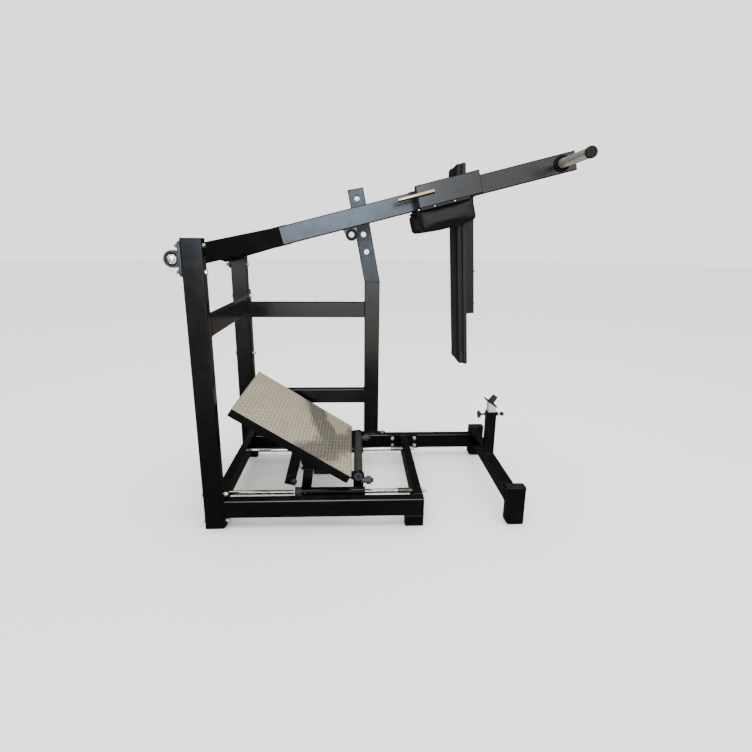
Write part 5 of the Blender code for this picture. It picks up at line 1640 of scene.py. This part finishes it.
class SQUAT_OT_add_tread(bpy.types.Operator):
    """Add the raised bars of the tread plate"""

    bl_idname = "squat.add_tread"
    bl_label = "Tread Bars"

    def execute(self, context):
        """Rolled lozenges, set alternately at 45 degrees each way."""
        pitch = 0.0212
        length = 0.0235
        width = 0.0068
        height = 0.0018
        run = (-0.7877, -0.0507)
        half_width = 0.325
        top = 0.0064
        bm = bmesh.new()
        rows = int((run[1] - run[0]) / pitch)
        columns = int(2 * half_width / pitch)
        shape = []
        for i in range(10):
            angle = 2 * math.pi * i / 10
            shape.append((math.cos(angle) * length / 2, math.sin(angle) * width / 2))
        for row in range(rows):
            along = run[0] + (run[1] - run[0] - (rows - 1) * pitch) / 2 + row * pitch
            for column in range(columns):
                y = -(columns - 1) * pitch / 2 + column * pitch
                turn = math.radians(45 if (row + column) % 2 else -45)
                self.add_bar(bm, along, y, top, turn, shape, height)
        # The bars take the lighter copy of the tread finish, partly worn bright and partly painted highlight.
        add_piece(context, "tread_bars", bm, "tread_crown", "foot_plate", crease=50)
        self.lay_sheet(context, run, 2 * half_width)
        self.cut_gussets(context)
        return {"FINISHED"}

    def lay_sheet(self, context, run, width):
        """The bare sheet that the bars stand on, inside the rims."""
        bm = bmesh.new()
        origin = on_plate((run[0] + run[1]) / 2, 0.0, 0.0005)
        outline = rounded_outline(run[1] - run[0], width, 0.002, 2)
        slab(bm, outline, 0.0060, axes_at(origin, PLATE_ALONG, ACROSS, PLATE_ABOVE), 0.0003)
        # The sheet takes the darker copy, partly painted shade between the bars, with the painted shadow
        # bands.
        sheet = add_piece(context, "tread_sheet", bm, "tread", "foot_plate")
        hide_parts("tread_plate")

    def cut_gussets(self, context):
        """Black gussets under the sheet that rest on the steps of the props."""
        thick = 0.008
        rear, step, front = 0.494, 0.563, 0.648
        high, low = 0.2523, 0.2225
        bm = bmesh.new()
        for side in (-1, 1):
            outline = [(rear, high), (step, high), (step, low), (front, low)]
            for x in (front, rear):
                along = (REAR_FACE + x - HINGE.x) / math.cos(PLATE_SLOPE)
                outline.append((x, on_plate(along, 0.0, 0.0008).z))
            place = Matrix.Translation(at(0.0, side * 0.254 + thick / 2, 0.0))
            slab(bm, outline, thick, place @ Matrix.Rotation(UP, 4, "X"), 0.0006)
        gussets = add_piece(context, "plate_gussets", bm, "powder_coat", "foot_plate")
        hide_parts("tread_plate")

    def add_bar(self, bm, along, y, top, turn, shape, height):
        """One bar with sloped flanks."""
        rings = []
        for level, factor in ((0.0, 1.0), (height * 0.7, 0.82), (height, 0.55)):
            ring = []
            for a, b in shape:
                x = (a * math.cos(turn) - b * math.sin(turn)) * factor
                w = (a * math.sin(turn) + b * math.cos(turn)) * factor
                ring.append(bm.verts.new(on_plate(along + x, y + w, top + level)))
            rings.append(ring)
        for first, second in zip(rings, rings[1:]):
            bridge(bm, first, second)
        bm.faces.new(rings[-1])


class SQUAT_OT_add_carriage_fittings(bpy.types.Operator):
    """Add the washers, clamp bolts and welds of the foot carriage"""

    bl_idname = "squat.add_carriage_fittings"
    bl_label = "Carriage Fittings"

    def execute(self, context):
        """Wipers and collars on the rods, clamp bolts at the hinge, beads on the tubes."""
        settings = context.scene.squat_fasteners
        for label, side in SIDES:
            y = side * ROD_Y
            bm = bmesh.new()
            ring = facing(at(0.4520, y, ROD_Z), FORWARD)
            washer(bm, ring, 0.0385, 0.0055, 0.0, 0.0132)
            add_piece(context, f"{label}_rod_washer", bm, "nylon", "foot_carriage")
            bm = bmesh.new()
            collar = [(0.0130, 0.0), (0.0250, 0.0), (0.0266, 0.0015), (0.0266, 0.0350)]
            collar += [(0.0252, 0.0365), (0.0130, 0.0365)]
            turned(bm, collar, facing(at(0.4578, y, ROD_Z), FORWARD), 48, closed=True)
            bolt = facing(at(0.8300, side * 0.2670, 0.1900), FORWARD)
            shank = [(0.0, 0.0), (0.0168, 0.0), (0.0172, 0.0006), (0.0172, 0.0300), (0.0, 0.0300)]
            turned(bm, shank, bolt, 40)
            washer(bm, bolt, 0.0245, 0.0070, 0.0300)
            hexagon(bm, bolt @ Matrix.Rotation(0.3, 4, "Z"), 0.0400, 0.0180, 0.0366)
            add_piece(context, f"{label}_carriage_bolt", bm, "cast_iron", "foot_carriage")
            bm = bmesh.new()
            tip = [(0.0, 0.0540), (0.0130, 0.0540), (0.0130, 0.0600), (0.0116, 0.0655)]
            tip += [(0.0080, 0.0680), (0.0, 0.0685)]
            turned(bm, tip, bolt, 32)
            add_piece(context, f"{label}_carriage_bolt_tip", bm, "plastic", "foot_carriage")
            bm = bmesh.new()
            outward = Vector((0.0, side * math.cos(0.26), math.sin(0.26)))
            screw = facing(at(0.5130, y, ROD_Z) + outward * 0.0244, outward)
            hexagon(bm, screw, 0.0100, 0.0050)
            add_piece(context, f"{label}_wiper_screw", bm, "zinc", "foot_carriage")
        bm = bmesh.new()
        for side in (-1, 1):
            y = side * ROD_Y
            weld_circle(bm, at(0.8495, y, ROD_Z), FORWARD, 0.0245, settings, 0.8)
        add_piece(context, "carriage_weld_beads", bm, "powder_coat", "foot_carriage", crease=60)
        return {"FINISHED"}


class SQUAT_OT_add_plate_fittings(bpy.types.Operator):
    """Add the bolts, knob and plugs of the foot plate"""

    bl_idname = "squat.add_plate_fittings"
    bl_label = "Plate Fittings"

    def execute(self, context):
        """Gusset bolts, hinge plugs and the fluted hand knob of the adjuster leg."""
        settings = context.scene.squat_fasteners
        bm = bmesh.new()
        for side in (-1, 1):
            point = at(0.493, side * 0.2605, 0.2760)
            bolt_head(bm, point, (0, side, 0), settings, 0.4, 0.9)
        add_piece(context, "gusset_bolts", bm, "zinc", "foot_plate")
        bm = bmesh.new()
        plugs = bmesh.new()
        for side in (-1, 1):
            end = facing(Vector((HINGE.x, side * 0.2748, HINGE.z)), (0, side, 0))
            ring = [(0.0104, 0.0), (0.0212, 0.0), (0.0216, 0.0006), (0.0216, 0.0022), (0.0208, 0.0030)]
            ring += [(0.0114, 0.0030), (0.0104, 0.0020)]
            turned(bm, ring, end, 40, closed=True)
            turned(plugs, [(0.0, 0.0), (0.0103, 0.0), (0.0103, 0.0014), (0.0, 0.0010)], end, 32)
        add_piece(context, "hinge_tube_rings", bm, "cast_iron", "foot_carriage")
        add_piece(context, "hinge_tube_plugs", plugs, "plastic", "foot_carriage")
        self.flute_knob(context)
        return {"FINISHED"}

    def flute_knob(self, context):
        """Round hand knob with shallow flutes."""
        low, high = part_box("adjuster_knob")
        centre = (low + high) / 2
        bm = bmesh.new()
        matrix = facing(Vector((centre.x, high.y, centre.z)), (0, -1, 0))
        depth = high.y - low.y
        profile = [(0.0098, 0.0), (0.0098, 0.0076), (0.0170, 0.0086), (0.0183, 0.0102)]
        profile += [(0.0185, 0.0200), (0.0176, 0.0228), (0.0150, depth - 0.0004), (0.0, depth)]
        turned(bm, [(0.0, 0.0)] + profile, matrix, 72, flute=self.flute_depth)
        knob = add_piece(context, "fluted_knob", bm, "plastic", "plate_knob")
        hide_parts("adjuster_knob")

    def flute_depth(self, radius, angle):
        """How deep the twelve flutes are at an angle; the narrow neck has none."""
        return 0.0011 * (0.5 + 0.5 * math.cos(12 * angle)) if radius > 0.012 else 0.0


class SQUAT_OT_add_stop_fittings(bpy.types.Operator):
    """Add the bumper, clamp knob, pull pin and collars of the arm stop"""

    bl_idname = "squat.add_stop_fittings"
    bl_label = "Stop Fittings"

    def execute(self, context):
        """Everything that hangs on the stop post."""
        x = STOP_X - REAR_FACE
        bm = bmesh.new()
        ring = facing(at(x + 0.0282, 0, PIN_HEIGHT), FORWARD)
        collar = [(0.0044, 0.0), (0.0115, 0.0), (0.0125, 0.0010), (0.0125, 0.0120)]
        collar += [(0.0105, 0.0150), (0.0044, 0.0150)]
        turned(bm, collar, ring, 32, closed=True)
        boss = facing(at(x - 0.0282, 0, PIN_HEIGHT), -FORWARD)
        nut = [(0.0064, 0.0), (0.0115, 0.0), (0.0115, 0.0100), (0.0064, 0.0100)]
        turned(bm, nut, boss, 32, closed=True)
        add_piece(context, "stop_post_collars", bm, "plastic", "frame")
        self.mould_knob(context)
        self.turn_pin(context)
        self.mould_bumper(context)
        self.coat_head_plate(context)
        return {"FINISHED"}

    def coat_head_plate(self, context):
        """Black coat over the slanted head plate of the inner tube."""
        under = at(1.620, 0.0, 0.5434)
        turn = Matrix.Rotation(STOP_SLANT, 4, "Y")
        bm = bmesh.new()
        outline = rounded_outline(0.0828, 0.0628, 0.004, 3)
        sunk = Matrix.Translation((0, 0, -0.0004))
        slab(bm, outline, 0.0064, Matrix.Translation(under) @ turn @ sunk, 0.0006)
        add_piece(context, "stop_head_coat", bm, "powder_coat", "arm_stop")

    def mould_knob(self, context):
        """Five soft lobes on a hub, and the threaded stem."""
        low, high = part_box("star_knob")
        centre = Vector((low.x, (low.y + high.y) / 2, (low.z + high.z) / 2))
        bm = bmesh.new()
        matrix = facing(centre, FORWARD)
        count = 80
        levels = [(0.55, 0.0), (0.86, 0.0012), (0.97, 0.0034), (1.0, 0.0060)]
        levels += [(1.0, 0.0105), (0.96, 0.0135), (0.84, 0.0155), (0.50, 0.0160)]
        rings = []
        for factor, height in levels:
            ring = []
            for i in range(count):
                angle = 2 * math.pi * i / count
                lobe = 0.0213 + 0.0032 * math.cos(5 * angle)
                ring.append(bm.verts.new(matrix @ polar(lobe * factor, angle, height)))
            rings.append(ring)
        skin(bm, rings)
        hub = [(0.0, 0.0150), (0.0100, 0.0150), (0.0090, 0.0240), (0.0, 0.0240)]
        turned(bm, hub, matrix, 32)
        knob = add_piece(context, "clamp_star_knob", bm, "plastic", "clamp_knob")
        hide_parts("star_knob")
        bm = bmesh.new()
        thread(bm, matrix, 0.0058, high.x - low.x - 0.024, 0.0238)
        add_piece(context, "clamp_stem", bm, "spring_steel", "clamp_knob")

    def turn_pin(self, context):
        """Bright pin with a black ball on its end."""
        low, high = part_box("stop_pin")
        start = Vector((low.x, 0.0, (low.z + high.z) / 2))
        length = high.x - low.x
        ball = 0.0132
        matrix = facing(start, FORWARD)
        bm = bmesh.new()
        stem = [(0.0, 0.0), (0.0034, 0.0), (0.0040, 0.0012), (0.0040, length - 1.7 * ball)]
        turned(bm, stem + [(0.0, length - 1.7 * ball)], matrix, 28)
        add_piece(context, "pull_pin_stem", bm, "chrome", "pull_pin")
        bm = bmesh.new()
        centre = length - ball
        profile = []
        for step in range(15):
            angle = math.radians(-70 + 160 * step / 14)
            profile.append((max(0.0, ball * math.cos(angle)), centre + ball * math.sin(angle)))
        profile[-1] = (0.0, length)
        turned(bm, [(0.0, profile[0][1])] + profile, matrix, 40)
        knob = add_piece(context, "pull_pin_ball", bm, "plastic", "pull_pin")
        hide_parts("stop_pin")

    def mould_bumper(self, context):
        """Tapered rubber buffer with a rounded crown and a moulded foot ring."""
        axis = Vector((math.sin(STOP_SLANT), 0, math.cos(STOP_SLANT)))
        low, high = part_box("stop_bumper")
        centre = (low + high) / 2
        bm = bmesh.new()
        base = centre - axis * 0.024
        profile = [(0.0, 0.0), (0.0195, 0.0), (0.0200, 0.0008), (0.0200, 0.0075), (0.0192, 0.0085)]
        profile += [(0.0188, 0.0120), (0.0176, 0.0420), (0.0168, 0.0460), (0.0150, 0.0478), (0.0, 0.0480)]
        turned(bm, profile, facing(base, axis), 56)
        bumper = add_piece(context, "rubber_bumper", bm, "bumper", "arm_stop")
        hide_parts("stop_bumper")


class SQUAT_OT_add_stage(bpy.types.Operator):
    """Add the floor, the lamp, the reflected room and the camera"""

    bl_idname = "squat.add_stage"
    bl_label = "Stage"

    def execute(self, context):
        """Pale floor, one soft lamp, what shows in the shine, and the photograph's view."""
        settings = context.scene.squat_stage
        self.add_floor(context, settings)
        self.add_reflections(context, settings)
        self.add_world(context, settings)
        self.add_lamp(context, settings)
        self.add_camera(context)
        return {"FINISHED"}

    def add_floor(self, context, settings):
        """Wide pale floor under the machine."""
        bm = bmesh.new()
        turned(bm, [(0.0, 0.0), (40.0, 0.0)], Matrix.Translation((0, 0, -0.0005)), 96)
        bmesh.ops.recalc_face_normals(bm, faces=bm.faces)
        if bm.faces[:][0].normal.z < 0:
            bmesh.ops.reverse_faces(bm, faces=bm.faces)
        mesh = to_mesh(bm, "studio_floor")
        material, shader = start_material("floor_finish", settings.floor, 0.0, 0.85)
        grain = noise(material, object_space(material), 3.0, 4.0)
        gloss_by(material, shader, grain, 0.3, 0.7, 0.80, 0.90)
        shader.inputs["Specular IOR Level"].default_value = 0.1
        mesh.materials.append(material)
        floor = bpy.data.objects.new("studio_floor", mesh)
        floor.visible_glossy = False
        context.scene.collection.objects.link(floor)

    def add_reflections(self, context, settings):
        """Dim room with a cool window and a warm wall, seen only in what shines."""
        reach = 60.0
        bm = bmesh.new()
        bmesh.ops.create_uvsphere(bm, u_segments=64, v_segments=32, radius=reach)
        bmesh.ops.reverse_faces(bm, faces=bm.faces)
        mesh = to_mesh(bm, "reflected_room")
        material, shader, space = start_finish("room_finish", (0.0, 0.0, 0.0), 0.0, 1.0)
        x = distance_from(material, space, FORWARD, Vector())
        y = distance_from(material, space, ACROSS, Vector())
        z = distance_from(material, space, UPWARD, Vector())
        ahead = combine(material, "MAXIMUM", times(material, y, -1.0), 0.5)
        aside = combine(material, "DIVIDE", x, ahead)
        lift = combine(material, "DIVIDE", z, ahead)
        low = spread(material, lift, -0.04, 0.06, 0.0, 1.0)
        band = times(material, low, spread(material, lift, 0.40, 0.70, 1.0, 0.0))
        left = spread(material, aside, -0.37, -0.23, 0.0, 1.0)
        pane = times(material, left, spread(material, aside, 0.04, 0.20, 1.0, 0.0))
        cool = times(material, band, pane)
        right = spread(material, aside, 0.06, 0.22, 0.0, 1.0)
        right = times(material, right, spread(material, aside, 1.0, 1.5, 1.0, 0.0))
        warm = times(material, band, right)
        sky = spread(material, z, 0.0, 0.8 * reach, 0.16, settings.ceiling)
        facing_camera = spread(material, y, -0.6 * reach, -0.1 * reach, 0.35, 1.0)
        sky = times(material, sky, facing_camera)
        sky = times(material, sky, spread(material, y, -0.05 * reach, 0.45 * reach, 1.0, 0.10))
        foot = spread(material, lift, -0.47, -0.41, 0.0, 1.0)
        foot = times(material, foot, spread(material, lift, -0.02, 0.04, 1.0, 0.0))
        foot = times(material, foot, spread(material, aside, -0.23, -0.17, 0.0, 1.0))
        foot = times(material, foot, spread(material, aside, 0.30, 0.50, 1.0, 0.0))
        sky = plus(material, sky, times(material, foot, settings.low_wall))
        ground = spread(material, z, -0.02 * reach, 0.0, 1.0, 0.0)
        room = plus(material, times(material, ground, settings.reflected_floor), sky)
        bright = times(material, cool, settings.window)
        cards = plus(material, bright, times(material, warm, settings.wall))
        tone = tint(material, ground, (1.0, 0.97, 0.92), (1.0, 0.90, 0.76))
        tone = tint(material, cool, tone, (0.70, 0.90, 1.16))
        wire(material, tone, shader.inputs["Emission Color"])
        wire(material, plus(material, room, cards), shader.inputs["Emission Strength"])
        material.cycles.emission_sampling = "NONE"
        mesh.materials.append(material)
        self.show_in_shine_only(context, "reflected_room", mesh)
        bm = bmesh.new()
        turned(bm, [(0.0, 0.0), (2.4, 0.0)], Matrix.Translation((0, 0, -0.0002)), 64)
        mesh = to_mesh(bm, "reflected_near_floor")
        material, shader = start_material("near_floor_finish", (0.0, 0.0, 0.0), 0.0, 1.0)
        shade = spread(material, noise(material, object_space(material), 1.5, 3.0), 0.3, 0.7, 0.03, 0.06)
        shader.inputs["Emission Color"].default_value = (1.0, 0.97, 0.90, 1.0)
        wire(material, shade, shader.inputs["Emission Strength"])
        material.cycles.emission_sampling = "NONE"
        mesh.materials.append(material)
        self.show_in_shine_only(context, "reflected_near_floor", mesh)

    def show_in_shine_only(self, context, name, mesh):
        """Link a part of the stage that nothing but a shiny surface can see."""
        item = bpy.data.objects.new(name, mesh)
        item.visible_camera = False
        item.visible_diffuse = False
        item.visible_transmission = False
        item.visible_shadow = False
        context.scene.collection.objects.link(item)

    def add_world(self, context, settings):
        """Even light from all sides."""
        world = bpy.data.worlds.new("studio_surround")
        context.scene.world = world
        world.use_nodes = True
        background = world.node_tree.nodes["Background"]
        background.inputs["Color"].default_value = (1.0, 1.0, 1.0, 1.0)
        background.inputs["Strength"].default_value = settings.surround
        world.cycles_visibility.glossy = False

    def add_lamp(self, context, settings):
        """Large soft lamp above the machine, turned to its middle."""
        data = bpy.data.lights.new("overhead_lamp", "AREA")
        data.shape = "RECTANGLE"
        data.size = 4.0
        data.size_y = 3.0
        data.energy = settings.overhead
        data.color = (1.0, 0.97, 0.93)
        item = bpy.data.objects.new("overhead_lamp", data)
        item.location = (0.2, -0.4, 4.6)
        direction = Vector((0, 0, 0.6)) - Vector((0.2, -0.4, 4.6))
        item.rotation_euler = direction.to_track_quat("-Z", "Y").to_euler()
        context.scene.collection.objects.link(item)

    def add_camera(self, context):
        """Camera where the photographer stood."""
        width = 752.0
        focal = 423.3
        yaw = math.radians(2.01)
        pitch = math.radians(13.07)
        roll = math.radians(0.40)
        level = math.cos(pitch)
        forward = Vector((math.sin(yaw) * level, math.cos(yaw) * level, -math.sin(pitch)))
        right = Vector((math.cos(yaw), -math.sin(yaw), 0.0))
        upright = right.cross(forward)
        right_rolled = right * math.cos(roll) + upright * math.sin(roll)
        up_rolled = upright * math.cos(roll) - right * math.sin(roll)
        data = bpy.data.cameras.new("photo_camera")
        data.sensor_width = 36.0
        data.lens = focal * data.sensor_width / width
        data.shift_x = 0.0084
        data.shift_y = -0.0448
        data.clip_start = 0.05
        data.clip_end = 150.0
        camera = bpy.data.objects.new("photo_camera", data)
        eye = at(0.796, -2.408, 1.481)
        camera.matrix_world = axes_at(eye, right_rolled, up_rolled, -forward)
        context.scene.collection.objects.link(camera)
        context.scene.camera = camera


PIECE_OPERATORS = (
    SQUAT_OT_finish_steelwork,
    SQUAT_OT_add_bearing_housings,
    SQUAT_OT_add_frame_bolts,
    SQUAT_OT_add_frame_welds,
    SQUAT_OT_add_tube_caps,
    SQUAT_OT_add_rod_fittings,
    SQUAT_OT_add_arm_welds,
    SQUAT_OT_add_grips,
    SQUAT_OT_add_horns,
    SQUAT_OT_add_roller,
    SQUAT_OT_add_shoulder_pads,
    SQUAT_OT_add_back_pad,
    SQUAT_OT_add_pad_bolts,
    SQUAT_OT_add_tread,
    SQUAT_OT_add_carriage_fittings,
    SQUAT_OT_add_plate_fittings,
    SQUAT_OT_add_stop_fittings,
    SQUAT_OT_add_stage,
)


class SQUAT_PT_machine(bpy.types.Panel):
    """Sizes, colours and building steps of the squat machine"""

    bl_idname = "SQUAT_PT_machine"
    bl_label = "Squat Machine"
    bl_space_type = "VIEW_3D"
    bl_region_type = "UI"
    bl_category = "Squat Machine"

    def draw(self, context):
        """List the settings and one button for each group of pieces."""
        layout = self.layout
        for group in ("squat_finishes", "squat_fasteners", "squat_pads", "squat_stage"):
            settings = getattr(context.scene, group)
            box = layout.box()
            for name in settings.bl_rna.properties.keys():
                if name not in ("rna_type", "name"):
                    box.prop(settings, name)
        column = layout.column(align=True)
        for operator in PIECE_OPERATORS:
            column.operator(operator.bl_idname)


SETTING_GROUPS = (
    ("squat_finishes", FinishSettings),
    ("squat_fasteners", FastenerSettings),
    ("squat_pads", PadSettings),
    ("squat_stage", StageSettings),
)


def register():
    """Register the settings, the operators and the panel."""
    for name, group in SETTING_GROUPS:
        bpy.utils.register_class(group)
        setattr(bpy.types.Scene, name, PointerProperty(type=group))
    for operator in PIECE_OPERATORS:
        bpy.utils.register_class(operator)
    bpy.utils.register_class(SQUAT_PT_machine)


def unregister():
    """Take the panel, the operators and the settings away again."""
    bpy.utils.unregister_class(SQUAT_PT_machine)
    for operator in reversed(PIECE_OPERATORS):
        bpy.utils.unregister_class(operator)
    for name, group in reversed(SETTING_GROUPS):
        delattr(bpy.types.Scene, name)
        bpy.utils.unregister_class(group)


def main():
    """Build every piece in order."""
    register()
    bpy.ops.squat.finish_steelwork()
    bpy.ops.squat.add_bearing_housings()
    bpy.ops.squat.add_frame_bolts()
    bpy.ops.squat.add_frame_welds()
    bpy.ops.squat.add_tube_caps()
    bpy.ops.squat.add_rod_fittings()
    bpy.ops.squat.add_arm_welds()
    bpy.ops.squat.add_grips()
    bpy.ops.squat.add_horns()
    bpy.ops.squat.add_roller()
    bpy.ops.squat.add_shoulder_pads()
    bpy.ops.squat.add_back_pad()
    bpy.ops.squat.add_pad_bolts()
    bpy.ops.squat.add_tread()
    bpy.ops.squat.add_carriage_fittings()
    bpy.ops.squat.add_plate_fittings()
    bpy.ops.squat.add_stop_fittings()
    bpy.ops.squat.add_stage()


if __name__ == "__main__":
    main()
